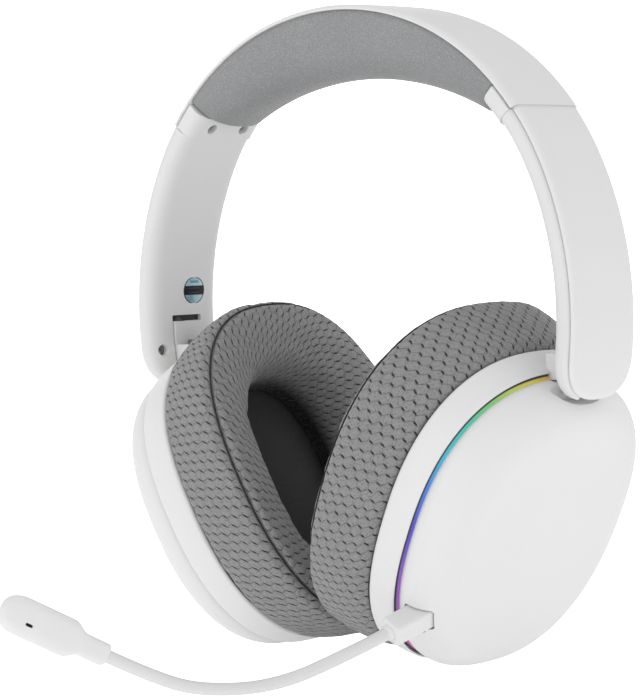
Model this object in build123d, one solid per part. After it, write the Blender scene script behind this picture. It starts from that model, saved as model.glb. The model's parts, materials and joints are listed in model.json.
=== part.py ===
"""Over-ear gaming headset: headband, sliding and swivelling cups, plug-in gooseneck microphone.

Frame: origin midway between the ear cups, +X to the wearer's left, +Y to the back, +Z up. Millimetres.
Each cup is drawn once in its own frame (x out of the ear, y back, z up, origin at the centre of its
light ring) and placed on the left; the right-hand cup is the mirror image.
"""
from build123d import *
import os
from math import acos, asin, cos, degrees, hypot, pi, radians, sin, sqrt, tan

# ---- headband and arms: three tangent arcs from the apex down, (outside radius, turn in degrees)
apex_height = 151.0
band_arcs = [(99.0, 19.1), (86.5, 43.7), (101.0, 42.0)]
band_half_width = 15.0
shell_thickness = 2.4
arm_thickness = 8.8
cap_depth = 9.4
cap_start, arm_start, arm_end = 44.9, 51.4, 104.8
band_edge_round = 2.0
arm_edge_round = 2.2
arm_tip_round = 13.0
pad_end_angle, pad_half_width, pad_apex_depth, pad_end_depth = 44.5, 14.0, 22.4, 11.0
pad_base_depth, pad_top_depth = 3.5, 5.1
spring_depth, spring_thickness, spring_half_width, spring_end = 2.7, 0.6, 7.0, 62.0
cable_depth, cable_radius, cable_y, cable_end = 3.5, 0.8, 10.5, 64.0
arm_screw_spots = [(-11.0, 44.4), (11.0, 44.4)]
sticker_y, sticker_z, sticker_radius = 3.4, 63.4, 4.5

# ---- slide, swivel and tilt
stem_x0, stem_x1, stem_top, stem_half_width = 84.4, 85.5, 82.0, 5.9
foot_bottom, foot_top, foot_shelf_top, foot_inner_x = 34.0, 53.5, 46.0, 74.5
swivel_x = 78.0
swivel_post_radius, running_clearance = 2.5, 0.06
pivot_x, pivot_z = 76.5, 29.5
pin_radius, pin_half_length = 1.25, 8.6
knuckle_half_width = 4.8
right_swivel_rest, right_tilt_rest = -6.6, 2.2

# ---- cup
cup_x, cup_y, cup_z = 54.0, -0.6, -2.7
cup_tilt, cup_lean = 26.6, 2.8
shell_inner_x, shell_half = -9.7, (43.9, 49.7)
wall = 2.2
cover_x0, cover_x1, cover_half, cover_round = 2.2, 14.8, (42.6, 47.7), 9.5
cushion_front, cushion_back, cushion_half = -33.0, -12.3, (46.5, 54.0)
ear_half = (22.5, 32.0)
driver_radius = 20.0
control_x = -4.8
power_z, mute_z, wheel_z, usb_z = 15.0, 3.0, -12.0, -27.0
wheel_radius, wheel_sink = 6.5, 5.4

# ---- microphone
plug_angle, plug_drop, plug_x, plug_half = 17.0, 12.3, 7.9, (3.6, 3.3)
plug_inner_r, plug_outer_r, jack_inner_r, jack_radius = 36.0, 54.2, 25.0, 1.75
boom_radius = 1.85
boom_first_run = 13.0
boom_route = [(36.5, -80.0, -44.6), (31.5, -104.5, -43.2), (28.2, -120.0, -37.6), (25.3, -132.7, -30.8)]
mic_length, mic_half_width, mic_half_thick, mic_neck_half = 36.0, 5.3, 3.8, 3.2

clearance = 0.35


# ---------------------------------------------------------------- headband path
def arc_centres():
    """Centre (x, z) and start angle of each of the band's arcs."""
    centres, x, z, angle = [], 0.0, apex_height, 0.0
    for radius, turn in band_arcs:
        cx, cz = x - radius * sin(radians(angle)), z - radius * cos(radians(angle))
        centres.append((cx, cz, radius, angle))
        angle += turn
        x, z = cx + radius * sin(radians(angle)), cz + radius * cos(radians(angle))
    return centres


def band_point(angle, depth):
    """Point (x, z) at a slope angle from the apex and a depth under the outer surface."""
    side = -1.0 if angle < 0 else 1.0
    angle = abs(angle)
    cx, cz, radius, _ = [c for c in arc_centres() if c[3] <= angle + 1e-9][-1]
    reach = radius - depth
    return side * (cx + reach * sin(radians(angle))), cz + reach * cos(radians(angle))


def band_stations(start, end):
    """Angles where the path changes arc between start and end, with both ends."""
    joints = []
    for _, _, _, angle in arc_centres()[1:]:
        joints += [angle, -angle]
    inside = [a for a in joints if start + 0.01 < a < end - 0.01]
    return [start] + sorted(inside) + [end]


def band_arc_edges(start, end, depth):
    """Arcs of the band path at one depth."""
    stations = band_stations(start, end)
    edges = []
    for a, b in zip(stations[:-1], stations[1:]):
        edges.append(ThreePointArc(band_point(a, depth), band_point((a + b) / 2, depth), band_point(b, depth)))
    return edges


def band_plate(start, end, depth0, depth1, y0, y1):
    """Curved plate that follows the band between two depths and two widths."""
    outline = band_arc_edges(start, end, depth0) + band_arc_edges(start, end, depth1)
    outline.append(Line(band_point(start, depth0), band_point(start, depth1)))
    outline.append(Line(band_point(end, depth0), band_point(end, depth1)))
    face = make_face(outline)
    return extrude(Plane.XZ.offset(-y0) * face, amount=-(y1 - y0))


def band_rod(start, end, depth, y, radius):
    """Round cable along the band: one torus piece for each arc."""
    rod = None
    for a, b in zip(band_stations(start, end)[:-1], band_stations(start, end)[1:]):
        path = ThreePointArc(band_point(a, depth), band_point((a + b) / 2, depth), band_point(b, depth))
        path = Plane.XZ.offset(-y) * path
        piece = sweep(Plane(origin=path @ 0, z_dir=path % 0) * Circle(radius), path=path)
        rod = piece if rod is None else rod + piece
    return rod


def round_long_edges(solid, radius):
    """Round the long edges of a curved plate that lie on the band's outer surface."""
    edges = [e for e in solid.edges() if e.geom_type == GeomType.CIRCLE
             and any(abs(e.radius - outside) < 0.01 for outside, _ in band_arcs)]
    return fillet(edges, radius)


# ---------------------------------------------------------------- small shapes
def box(x0, x1, y0, y1, z0, z1):
    """Box between two corners."""
    return Pos((x0 + x1) / 2, (y0 + y1) / 2, (z0 + z1) / 2) * Box(x1 - x0, y1 - y0, z1 - z0)


def rod_x(radius, x0, x1, y=0.0, z=0.0):
    """Cylinder along X."""
    return Pos((x0 + x1) / 2, y, z) * Rot(0, 90, 0) * Cylinder(radius, x1 - x0)


def rod_y(radius, y0, y1, x=0.0, z=0.0):
    """Cylinder along Y."""
    return Pos(x, (y0 + y1) / 2, z) * Rot(90, 0, 0) * Cylinder(radius, y1 - y0)


def rod_z(radius, z0, z1, x=0.0, y=0.0):
    """Cylinder along Z."""
    return Pos(x, y, (z0 + z1) / 2) * Cylinder(radius, z1 - z0)


def oval_radii(half_z):
    """Side, end and corner radius of the cup's rounded outline."""
    return 1.85 * half_z, 1.78 * half_z, 0.753 * half_z


def oval_face(half_y, half_z, radii=None):
    """Rounded outline of eight tangent arcs, in the YZ plane."""
    side, end, corner = radii or oval_radii(half_z)
    ey, ez, sy, sz = 0.0, half_z - end, half_y - side, 0.0
    gap = hypot(sy - ey, sz - ez)
    uy, uz = (sy - ey) / gap, (sz - ez) / gap
    along = ((end - corner) ** 2 - (side - corner) ** 2 + gap ** 2) / (2 * gap)
    across = sqrt((end - corner) ** 2 - along ** 2)
    ky, kz = ey + uy * along + uz * across, ez + uz * along - uy * across
    if ky + kz < 0:
        ky, kz = ey + uy * along - uz * across, ez + uz * along + uy * across
    a_end = asin((ky - ey) / (end - corner))
    a_side = acos((ky - sy) / (side - corner))
    p1 = (ky + corner * sin(a_end), kz + corner * cos(a_end))
    p2 = (ky + corner * cos(a_side), kz + corner * sin(a_side))
    mid_angle = (radians(90) - a_end + a_side) / 2
    pm = (ky + corner * cos(mid_angle), kz + corner * sin(mid_angle))
    arcs = [ThreePointArc((-p1[0], p1[1]), (0, half_z), p1), ThreePointArc(p1, pm, p2),
            ThreePointArc(p2, (half_y, 0), (p2[0], -p2[1])),
            ThreePointArc((p2[0], -p2[1]), (pm[0], -pm[1]), (p1[0], -p1[1])),
            ThreePointArc((p1[0], -p1[1]), (0, -half_z), (-p1[0], -p1[1])),
            ThreePointArc((-p1[0], -p1[1]), (-pm[0], -pm[1]), (-p2[0], -p2[1])),
            ThreePointArc((-p2[0], -p2[1]), (-half_y, 0), (-p2[0], p2[1])),
            ThreePointArc((-p2[0], p2[1]), (-pm[0], pm[1]), (-p1[0], p1[1]))]
    return make_face(arcs)


def oval(half, x0, x1, radii=None):
    """Prism with the cup's outline from x0 to x1, in the cup's frame."""
    return extrude(Plane.YZ.offset(x0) * oval_face(half[0], half[1], radii), amount=x1 - x0)


def shrunk(half, by):
    """Half sizes of an outline moved inwards."""
    return half[0] - by, half[1] - by


# ---------------------------------------------------------------- placing the cups
cup_frame = Pos(cup_x, cup_y, cup_z) * Rot(0, cup_tilt, 0) * Rot(cup_lean, 0, 0)
pivot = Pos(pivot_x, 0, pivot_z)
pivot_back = Pos(-pivot_x, 0, -pivot_z)
right_swivel = Pos(swivel_x, 0, 0) * Rot(0, 0, right_swivel_rest) * Pos(-swivel_x, 0, 0)
right_tilt = pivot * Rot(0, -right_tilt_rest, 0) * pivot_back


def in_cup(world_solid):
    """A solid drawn in the left side's frame, moved into the cup's frame."""
    return cup_frame.inverse() * world_solid


parts = {}


def add_arm(name, solid):
    """Keep a left arm piece and its mirror image."""
    parts[name + "_left"] = solid
    parts[name + "_right"] = mirror(solid, about=Plane.YZ)


def add_swivel(name, solid):
    """Keep a piece that turns with the swivel block, on both sides."""
    parts[name + "_left"] = solid
    parts[name + "_right"] = mirror(right_swivel * solid, about=Plane.YZ)


def add_cup(name, left, right=None):
    """Keep a cup piece on both sides; right is given where the two differ."""
    parts[name + "_left"] = cup_frame * left
    parts[name + "_right"] = mirror(right_swivel * right_tilt * cup_frame * (right or left), about=Plane.YZ)


# ---------------------------------------------------------------- headband
def headband_shell():
    """Outer plastic shell of the crown."""
    w = band_half_width
    plate = band_plate(-arm_start, arm_start, 0, shell_thickness, -w, w)
    return round_long_edges(plate, band_edge_round)


def headband_pad():
    """Padded cushion under the crown: follows the band on top, one flat arc below."""
    end = pad_end_angle
    top = band_arc_edges(-end, end, pad_top_depth)
    low_right, low_left = band_point(end, pad_end_depth), band_point(-end, pad_end_depth)
    bottom = ThreePointArc(low_left, (0, apex_height - pad_apex_depth), low_right)
    sides = [Line(band_point(end, pad_top_depth), low_right), Line(band_point(-end, pad_top_depth), low_left)]
    w = pad_half_width
    body = extrude(Plane.XZ.offset(w) * make_face(top + [bottom] + sides), amount=-2 * w)
    low = [e for e in body.edges() if e.geom_type == GeomType.CIRCLE
           and abs(abs(e.center().Y) - w) < 0.01 and e.radius > 110]
    return fillet(low, 9.0)


def pad_base():
    """Plastic strip that the pad is glued to, grooved for the cable."""
    w = pad_half_width - 1
    strip = band_plate(-pad_end_angle, pad_end_angle, pad_base_depth, pad_top_depth - 0.1, -w, w)
    return strip - band_rod(-pad_end_angle - 1, pad_end_angle + 1, cable_depth, cable_y, cable_radius + 0.2)


def end_cap():
    """Block that closes the crown beside the arm, with two screw recesses."""
    w = band_half_width - 0.3
    block = band_plate(cap_start, arm_start, shell_thickness, cap_depth, -w, w)
    block -= band_plate(cap_start - 1, arm_start + 1, shell_thickness - 1, 3.6, -7.4, 7.4)
    block -= band_plate(cap_start - 1, arm_start + 1, shell_thickness - 1, 4.6, cable_y - 1.1, cable_y + 1.1)
    return block - cap_screw_pair(2.0, 1.05, 3.0, 5.2, 0.5)


def cap_screw_pair(head_r, shank_r, head_depth, tip_depth, overshoot=0.0):
    """Two screws through the end cap's inner face: heads head_depth below it, tips near the band."""
    angle = (cap_start + arm_start) / 2
    pair = None
    for y in (-6.9, 6.9):
        x, z = band_point(angle, 0)
        place = Pos(x, y, z) * Rot(0, angle, 0)
        head_top = cap_depth - (0 if overshoot else 1.4)
        head = rod_z(head_r, -(head_top + overshoot), -(cap_depth - head_depth))
        shank = rod_z(shank_r, -(cap_depth - head_depth), -tip_depth)
        screw = place * (head + shank)
        pair = screw if pair is None else pair + screw
    return pair


parts["headband_shell"] = headband_shell()
parts["headband_pad"] = headband_pad()
parts["pad_base"] = pad_base()
parts["spring_band"] = band_plate(-spring_end, spring_end, spring_depth, spring_depth + spring_thickness,
                                  -spring_half_width, spring_half_width)
parts["headband_cable"] = band_rod(-cable_end, cable_end, cable_depth, cable_y, cable_radius)
add_arm("end_cap", end_cap())
cap_screws = cap_screw_pair(1.8, 1.0, 3.0, 5.4)
parts["end_cap_screws"] = cap_screws + mirror(cap_screws, about=Plane.YZ)


# ---------------------------------------------------------------- arms
def arm_outline(grow=0.0):
    """Front view of the arm, with its rounded lower end, as a prism along X."""
    w, tip_z, r = band_half_width + grow, band_point(arm_end, 0)[1] - grow, arm_tip_round + grow
    top = 130.0
    face = make_face([Line((-w, top), (w, top)), Line((w, top), (w, tip_z + r)),
                      ThreePointArc((w, tip_z + r), (w - r + r * sin(radians(45)), tip_z + r - r * cos(radians(45))),
                                    (w - r, tip_z)),
                      Line((w - r, tip_z), (-w + r, tip_z)),
                      ThreePointArc((-w + r, tip_z), (-w + r - r * sin(radians(45)), tip_z + r - r * cos(radians(45))),
                                    (-w, tip_z + r)),
                      Line((-w, tip_z + r), (-w, top))])
    return extrude(Plane.YZ.offset(40.0) * face, amount=60.0)


def arm_layer(depth0, depth1, edge_round=0.0):
    """Part of the arm between two depths, with the rounded end cut."""
    w = band_half_width
    plate = band_plate(arm_start + 0.15, arm_end + 3.0, depth0, depth1, -w, w)
    if edge_round:
        plate = round_long_edges(plate, edge_round)
    return plate & arm_outline()


stem_channel = box(stem_x0 - 0.3, stem_x1 + 0.3, -6.3, 6.3, 20.0, stem_top + 1.5)


def arm_outer_cover():
    """Outer half of the arm."""
    bosses = None
    for y, z in arm_screw_spots:
        boss = box(84.0, 92.0, y - 1.5, y + 1.5, z - 1.5, z + 1.5) & band_plate(60, 101, 1.0, 5.0, -15, 15)
        boss -= rod_x(1.0, 80.0, arm_screw_tip(z) + 0.3, y, z)
        bosses = boss if bosses is None else bosses + boss
    return arm_layer(0, shell_thickness, arm_edge_round) - stem_channel + bosses


def arm_inner_surface(z, depth):
    """X of the arm's surface at one depth and height."""
    cx, cz, radius, _ = arc_centres()[2]
    return cx + sqrt((radius - depth) ** 2 - (z - cz) ** 2)


def arm_screw_tip(z):
    """X where an arm screw ends, inside its boss."""
    return arm_inner_surface(z, 2.9)


def arm_inner_cover():
    """Inner half of the arm: a tray with the stem's slot, screw seats and the sticker's flat."""
    tray = arm_layer(shell_thickness, arm_thickness)
    tray -= band_plate(arm_start - 1, 99.6, shell_thickness - 1, 6.4, -12.6, 12.6)
    tray -= stem_channel
    tray -= box(76.0, 88.0, -6.3, 6.3, 20.0, 55.5)
    for y, z in arm_screw_spots:
        tray -= rod_x(1.1, 78.0, 92.0, y, z)
        tray -= rod_x(1.9, 78.0, arm_inner_surface(z, arm_thickness) + 0.8, y, z)
    return tray


def arm_screws():
    """Screws that hold the arm's halves together, heads on the inner face."""
    group = None
    for y, z in arm_screw_spots:
        seat = arm_inner_surface(z, arm_thickness) + 0.75
        screw = rod_x(1.7, seat - 0.9, seat, y, z) + rod_x(0.95, seat, arm_screw_tip(z), y, z)
        group = screw if group is None else group + screw
    return group


sticker_x = arm_inner_surface(sticker_z, arm_thickness)
sticker_seat = rod_x(sticker_radius + 0.15, sticker_x - 2, sticker_x + 0.35, sticker_y, sticker_z)
add_arm("arm_outer_cover", arm_outer_cover())
add_arm("arm_inner_cover", arm_inner_cover())
parts["arm_inner_cover_right"] -= mirror(sticker_seat, about=Plane.YZ)
parts["inspection_sticker"] = mirror(rod_x(sticker_radius, sticker_x + 0.1, sticker_x + 0.35,
                                           sticker_y, sticker_z), about=Plane.YZ)
screws = arm_screws()
parts["arm_screws"] = screws + mirror(screws, about=Plane.YZ)


# ---------------------------------------------------------------- stem, swivel and hinge
def slider_stem():
    """Steel strip with the moulded foot that carries the swivel."""
    w = stem_half_width
    strip = box(stem_x0, stem_x1, -w, w, foot_bottom + 2, stem_top)
    foot = box(82.2, stem_x0, -w, w, foot_bottom, foot_top) + box(81.0, stem_x0, -w, w, foot_bottom, foot_shelf_top)
    shelf = box(foot_inner_x, stem_x0, -w, w, foot_shelf_top - 7.6, foot_shelf_top)
    bore = rod_z(swivel_post_radius + running_clearance, 30, 50, swivel_x)
    return strip + foot + shelf - bore


def swivel_block():
    """Post in the foot's bore with the knuckle that carries the tilt pin."""
    w = knuckle_half_width
    post = rod_z(swivel_post_radius, 36.0, foot_shelf_top + 0.1, swivel_x)
    knuckle = box(73.4, 79.0, -w, w, 26.2, foot_shelf_top - 8.0)
    knuckle = fillet(knuckle.edges().filter_by(Axis.Y).group_by(Axis.Z)[0], 2.5)
    thread = rod_z(1.0, 41.0, foot_shelf_top + 1, swivel_x)
    pin_bore = rod_y(pin_radius + running_clearance, -w - 1, w + 1, pivot_x, pivot_z)
    return knuckle + post - pin_bore - thread


def swivel_screw():
    """Flanged screw that keeps the post in the foot."""
    head_z = foot_shelf_top + 0.1
    return rod_z(3.3, head_z, head_z + 1.4, swivel_x) + rod_z(0.95, 41.2, head_z, swivel_x)


def hinge_bracket():
    """Metal bracket in the cup: a base and two ears around the knuckle, square to the tilt pin."""
    inner, outer = 5.5, 8.3
    ear = in_cup(pivot * (rod_y(3.4, inner, outer) + box(-3.4, 3.4, inner, outer, -6.5, 0)))
    other = in_cup(pivot * (rod_y(3.4, -outer, -inner) + box(-3.4, 3.4, -outer, -inner, -6.5, 0)))
    base = in_cup(pivot * box(-3.4, 3.4, -outer, outer, -7.9, -6.3))
    return ear + other + base - in_cup(pivot * rod_y(pin_radius, -10, 10))


add_arm("slider_stem", slider_stem())
add_swivel("swivel_block", swivel_block())
add_swivel("swivel_screw", swivel_screw())
add_cup("hinge_pin", in_cup(rod_y(pin_radius, -pin_half_length, pin_half_length, pivot_x, pivot_z)))
add_cup("hinge_bracket", hinge_bracket())

# room in the cup for the tilting knuckle, the bracket, the stem's foot and the arm's rounded end
knuckle_room = in_cup(box(71.6, 81.6, -5.7, 5.7, 24.4, 70.0))
bracket_room = in_cup(pivot * (rod_y(3.8, -8.9, 8.9) + box(-3.8, 3.8, -8.9, 8.9, -8.5, 0)))
foot_room = in_cup(box(71.0, 95.0, -7.3, 7.3, 37.6, 70.0) + box(80.0, 95.0, -7.3, 7.3, 31.0, 70.0))
arm_room = in_cup(arm_outline(2.7) & box(78.9, 99.0, -20, 20, 20, 70)) + foot_room


# ---------------------------------------------------------------- cup
def rim_place(z, half):
    """Place on the cup's rear edge at height z: +Y points straight out of the rim."""
    side = oval_radii(half[1])[0]
    angle = asin(z / side)
    return Pos(0, half[0] - side + side * cos(angle), side * sin(angle)) * Rot(degrees(angle), 0, 0)


screw_spots = [(y, z) for y in (-27.0, 27.0) for z in (-32.0, 32.0)]


def cup_shell():
    """Rear housing: a ring wall with screw bosses, open to the baffle and to the cover."""
    ring = oval(shell_half, shell_inner_x, 0) - oval(shrunk(shell_half, wall), shell_inner_x - 1, 1)
    for y, z in screw_spots:
        boss = rod_x(3.0, shell_inner_x + 2.5, -0.4, y, z) - rod_x(1.1, -12, 1, y, z)
        bridge = (box(shell_inner_x + 2.5, -0.4, min(y, y * 1.45), max(y, y * 1.45), z - 1, z + 1)
                  - rod_x(2.0, -12, 1, y, z)) & oval(shrunk(shell_half, wall - 0.5), -12, 1)
        ring += boss + bridge
    return ring - knuckle_room - arm_room


def left_cup_shell():
    """Left shell with holes for the buttons, the wheel and the charging socket."""
    shell = cup_shell()
    for z in (power_z, mute_z):
        shell -= rim_place(z, shell_half) * box(control_x - 2.4, control_x + 2.4, -4, 3, -4.9, 4.9)
    shell -= rim_place(wheel_z, shell_half) * box(control_x - 2.1, control_x + 2.1, -4, 3, -6.6, 6.6)
    return shell - rim_place(usb_z, shell_half) * box(control_x - 1.9, control_x + 1.9, -4, 3, -4.8, 4.8)


def pan(half, x0, x1, edge_round):
    """Domed block: a prism with a large round on its outer edge."""
    block = oval(half, x0, x1)
    return fillet(block.edges().group_by(Axis.X)[-1], edge_round)


def outer_cover():
    """Domed outer cover of the cup, hollow, cut round the hinge and the arm's end."""
    cover = pan(cover_half, cover_x0, cover_x1, cover_round)
    cover -= pan(shrunk(cover_half, 2.0), cover_x0 - 1, cover_x1 - 2.0, cover_round - 2.0)
    return cover - knuckle_room - bracket_room - arm_room


def at_plug(solid):
    """A solid drawn along +Y from the cup's centre, turned to the microphone's direction and lowered."""
    return Rot(180 + plug_angle, 0, 0) * Pos(0, 0, plug_drop) * solid


def plug_block(x_half, t_half, r0, r1):
    """Rectangular block along the plug's direction."""
    return box(plug_x - x_half, plug_x + x_half, r0, r1, -t_half, t_half)


def left_outer_cover():
    """Left cover with the microphone plug's pocket."""
    pocket = at_plug(plug_block(plug_half[0] + clearance, plug_half[1] + clearance, plug_inner_r - 0.3, 70))
    return outer_cover() - pocket


def baffle():
    """Plate that carries the driver, with counterbored screw holes."""
    plate = oval(shrunk(shell_half, wall + 0.1), shell_inner_x, shell_inner_x + 2.3)
    plate -= rod_x(driver_radius - 0.5, -12, 0)
    for y, z in screw_spots:
        plate -= rod_x(1.15, -12, 0, y, z) + rod_x(2.5, -12, shell_inner_x + 1.3, y, z)
    return plate - knuckle_room


def cup_screws():
    """Four screws that hold the baffle to the shell's bosses."""
    group = None
    for y, z in screw_spots:
        screw = rod_x(2.2, shell_inner_x + 0.1, shell_inner_x + 1.3, y, z)
        screw += rod_x(1.0, shell_inner_x + 1.3, -1.5, y, z)
        group = screw if group is None else group + screw
    return group


def ring_band(half, by0, by1, x0, x1):
    """Thin ring between two inward offsets of an outline."""
    ring = oval(shrunk(half, by0), x0, x1) - oval(shrunk(half, by1), x0 - 1, x1 + 1)
    return ring - knuckle_room - arm_room


ear_radii = (90.0, 30.0, 18.0)
opening = oval(ear_half, cushion_front - 1, cushion_back + 1, ear_radii)


def ear_cushion():
    """Soft ring round the ear: rounded on the head side, open through the middle."""
    body = oval(cushion_half, cushion_front, cushion_back)
    body = fillet(body.edges().group_by(Axis.X)[0], 9.0)
    body = body - opening
    rim = [e for e in body.edges().group_by(Axis.X)[0] if abs(e.center().Z) < 40 and abs(e.center().Y) < 30]
    return fillet(rim, 5.0)


def cushion_plate():
    """Ring that clips the cushion to the cup."""
    x0 = shell_inner_x - 1.6
    return oval(shrunk(shell_half, 1.0), x0, shell_inner_x - 0.1) - oval(shrunk(ear_half, -2.0), x0 - 1, -8, ear_radii)


def scrim():
    """Thin cloth over foam that closes the cushion's opening."""
    return oval((30.0, 39.0), cushion_back + 0.1, shell_inner_x - 1.7, (110.0, 45.0, 24.0))


def driver_frame():
    """Cup-shaped frame of the driver, its flange against the baffle, with the domed cone inside."""
    x = shell_inner_x + 2.3
    frame = rod_x(driver_radius + 3, x, x + 1) + rod_x(driver_radius + 1.2, x, x + 4.2)
    frame -= rod_x(driver_radius, x - 1, x + 3.2)
    frame -= rod_x(11.1, x, x + 6)
    cone = rod_x(driver_radius - 0.2, x + 0.1, x + 0.6) + rod_x(9.0, x - 0.7, x + 0.1)
    return frame + cone


def driver_magnet():
    """Magnet and pole piece of the driver."""
    x = shell_inner_x + 4.4
    return rod_x(10.9, x + 0.3, x + 7.5) + rod_x(8.0, x, x + 0.3)


def screw_clear(solid):
    """Cut away the room that the screw bosses need."""
    for y, z in screw_spots:
        solid -= rod_x(3.3, -12, 1, y, z)
    return solid


add_cup("cup_shell", left_cup_shell(), cup_shell())
add_cup("outer_cover", left_outer_cover(), outer_cover())
add_cup("light_ring", ring_band(cover_half, 0.7, 2.6, 0.5, 2.0))
add_cup("led_strip", ring_band(cover_half, 2.8, 3.4, 0.2, 2.1))
add_cup("baffle", baffle())
add_cup("cup_screws", cup_screws())
add_cup("ear_cushion", ear_cushion())
add_cup("cushion_plate", cushion_plate())
add_cup("scrim", scrim())
add_cup("driver_frame", driver_frame())
add_cup("driver_magnet", driver_magnet())


# ---------------------------------------------------------------- electronics and controls
def circuit_board():
    """Main board with its processor, radio can and two connectors."""
    board = box(5.2, 6.4, -17, 17, -13, 13)
    chips = box(6.4, 7.6, -8, 2, -6, 4) + box(6.4, 7.9, 6, 14, -8, 6) + box(6.4, 9.4, -15, -11, 4, 10)
    return board + chips


def battery():
    """Flat lithium cell."""
    cell = box(5.0, 10.0, -17, 17, -14, 24)
    return fillet(cell.edges().filter_by(Axis.Z), 2.0)


def button(z):
    """Rounded key with a flange behind the wall."""
    cap = box(control_x - 2.0, control_x + 2.0, -3.0, 0.7, -4.5, 4.5)
    cap = fillet(cap.edges().filter_by(Axis.Y), 1.6)
    flange = box(control_x - 2.1, control_x + 2.1, -3.9, -3.0, -5.6, 5.6)
    return rim_place(z, shell_half) * (cap + flange)


def volume_wheel():
    """Knurled thumb wheel on a short axle along the cup's depth."""
    wheel = rod_x(wheel_radius, control_x - 1.6, control_x + 1.6)
    for i in range(36):
        wheel -= Rot(i * 10.0, 0, 0) * rod_x(0.28, control_x - 2, control_x + 2, wheel_radius + 0.05, 0)
    axle = rod_x(1.0, control_x + 1.6, control_x + 3.8)
    return rim_place(wheel_z, shell_half) * Pos(0, -wheel_sink, 0) * (wheel + axle)


def volume_encoder():
    """Encoder body with the wheel's bore."""
    body = box(control_x + 2.2, control_x + 4.6, -4, 2.6, -4.5, 4.5) - rod_x(1.06, control_x, control_x + 4.2)
    return rim_place(wheel_z, shell_half) * Pos(0, -wheel_sink, 0) * body


def usb_socket():
    """USB-C receptacle, its mouth flush with the wall."""
    shell = box(control_x - 1.6, control_x + 1.6, -7.5, -0.2, -4.5, 4.5)
    shell = fillet(shell.edges().filter_by(Axis.Y), 1.5)
    mouth = box(control_x - 1.25, control_x + 1.25, -6.6, 1, -4.15, 4.15)
    mouth = fillet(mouth.edges().filter_by(Axis.Y), 1.2)
    tongue = box(control_x - 0.35, control_x + 0.35, -6.8, -1.2, -3.3, 3.3)
    return rim_place(usb_z, shell_half) * (shell - mouth + tongue)


parts["circuit_board"] = cup_frame * circuit_board()
parts["battery"] = mirror(right_swivel * right_tilt * cup_frame * battery(), about=Plane.YZ)
parts["power_button"] = cup_frame * button(power_z)
parts["mute_button"] = cup_frame * button(mute_z)
parts["volume_wheel"] = cup_frame * volume_wheel()
parts["volume_encoder"] = cup_frame * volume_encoder()
parts["usb_socket"] = cup_frame * usb_socket()


# ---------------------------------------------------------------- microphone
def mic_socket():
    """Socket in the left cup for the microphone's jack."""
    body = plug_block(3.4, 3.2, jack_inner_r - 0.5, plug_inner_r - 0.6)
    bore = Pos(plug_x, (jack_inner_r + plug_inner_r) / 2, 0) * Rot(90, 0, 0) * Cylinder(jack_radius + 0.05, 12.0)
    return at_plug(body - bore)


def mic_plug():
    """Rounded block at the boom's foot."""
    block = plug_block(plug_half[0], plug_half[1], plug_inner_r, plug_outer_r)
    block = fillet(block.edges().filter_by(Axis.Y), 1.0)
    return at_plug(fillet(block.edges().group_by(Axis.Y)[-1], 0.8))


def mic_jack():
    """Jack pin with its rounded tip."""
    pin = rod_y(jack_radius, jack_inner_r, plug_inner_r, plug_x)
    return at_plug(fillet(pin.edges().group_by(Axis.Y)[0], 1.2))


boom_start = (cup_frame * at_plug(Pos(plug_x, plug_outer_r, 0))).position
boom_second = (cup_frame * at_plug(Pos(plug_x, plug_outer_r + boom_first_run, 0))).position


def corner_radii(points):
    """Largest smooth radius at each inner corner of a route."""
    radii = []
    for a, b, c in zip(points[:-2], points[1:-1], points[2:]):
        turn = radians((b - a).get_angle(c - b))
        radii.append(0.45 * min((b - a).length, (c - b).length) / tan(turn / 2))
    return radii


def mic_boom():
    """Flexible gooseneck, straight runs joined by tangent arcs."""
    points = [boom_start, boom_second] + [Vector(*p) for p in boom_route]
    radii = corner_radii(points)
    print("boom corner radii", [round(r, 1) for r in radii])
    path = FilletPolyline(*points, radius=radii)
    tube = sweep(Plane(origin=path @ 0, z_dir=path % 0) * Circle(boom_radius), path=path)
    print("boom length", round(path.length, 1), "volume ratio",
          round(tube.volume / (path.length * pi * boom_radius ** 2), 4))
    return tube


mic_axis = (Vector(*boom_route[-1]) - Vector(*boom_route[-2])).normalized()
mic_up = (Vector(0, 0, 1) - mic_axis * mic_axis.Z).normalized()
mic_frame = Plane(origin=Vector(*boom_route[-1]), x_dir=mic_axis, z_dir=mic_axis.cross(mic_up))
mic_side = 1.0 if mic_frame.z_dir.X > 0 else -1.0
port_at, capsule_at = 27.5, 29.0


def mic_body():
    """Flat rounded capsule that narrows to the boom."""
    w, n, length = mic_half_width, mic_neck_half, mic_length
    outline = make_face([Line((0, -n), (0, n)), Spline((0, n), (4.5, n + 0.2), (11.0, w), tangents=[(1, 0), (1, 0)]),
                         Line((11.0, w), (length - w, w)), ThreePointArc((length - w, w), (length, 0), (length - w, -w)),
                         Line((length - w, -w), (11.0, -w)),
                         Spline((11.0, -w), (4.5, -n - 0.2), (0, -n), tangents=[(-1, 0), (-1, 0)])])
    body = extrude(Plane.XY.offset(-mic_half_thick) * outline, amount=2 * mic_half_thick)
    return fillet(body.edges().group_by(Axis.Z)[-1] + body.edges().group_by(Axis.Z)[0], 2.2)


def mic_half(outer):
    """One half of the capsule's housing, with room for the capsule and the sound port."""
    half = box(-1, mic_length + 1, -8, 8, 0, 8) if outer else box(-1, mic_length + 1, -8, 8, -8, 0)
    body = (mic_body() & half) - Pos(capsule_at, 0, 0) * Cylinder(3.1, 4.4)
    body -= box(0.5, 20, -1.2, 1.2, -1.2, 1.2)
    if outer:
        body -= box(port_at - 1.3, port_at + 1.3, -0.5, 0.5, 0, 8)
    return body


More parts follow.
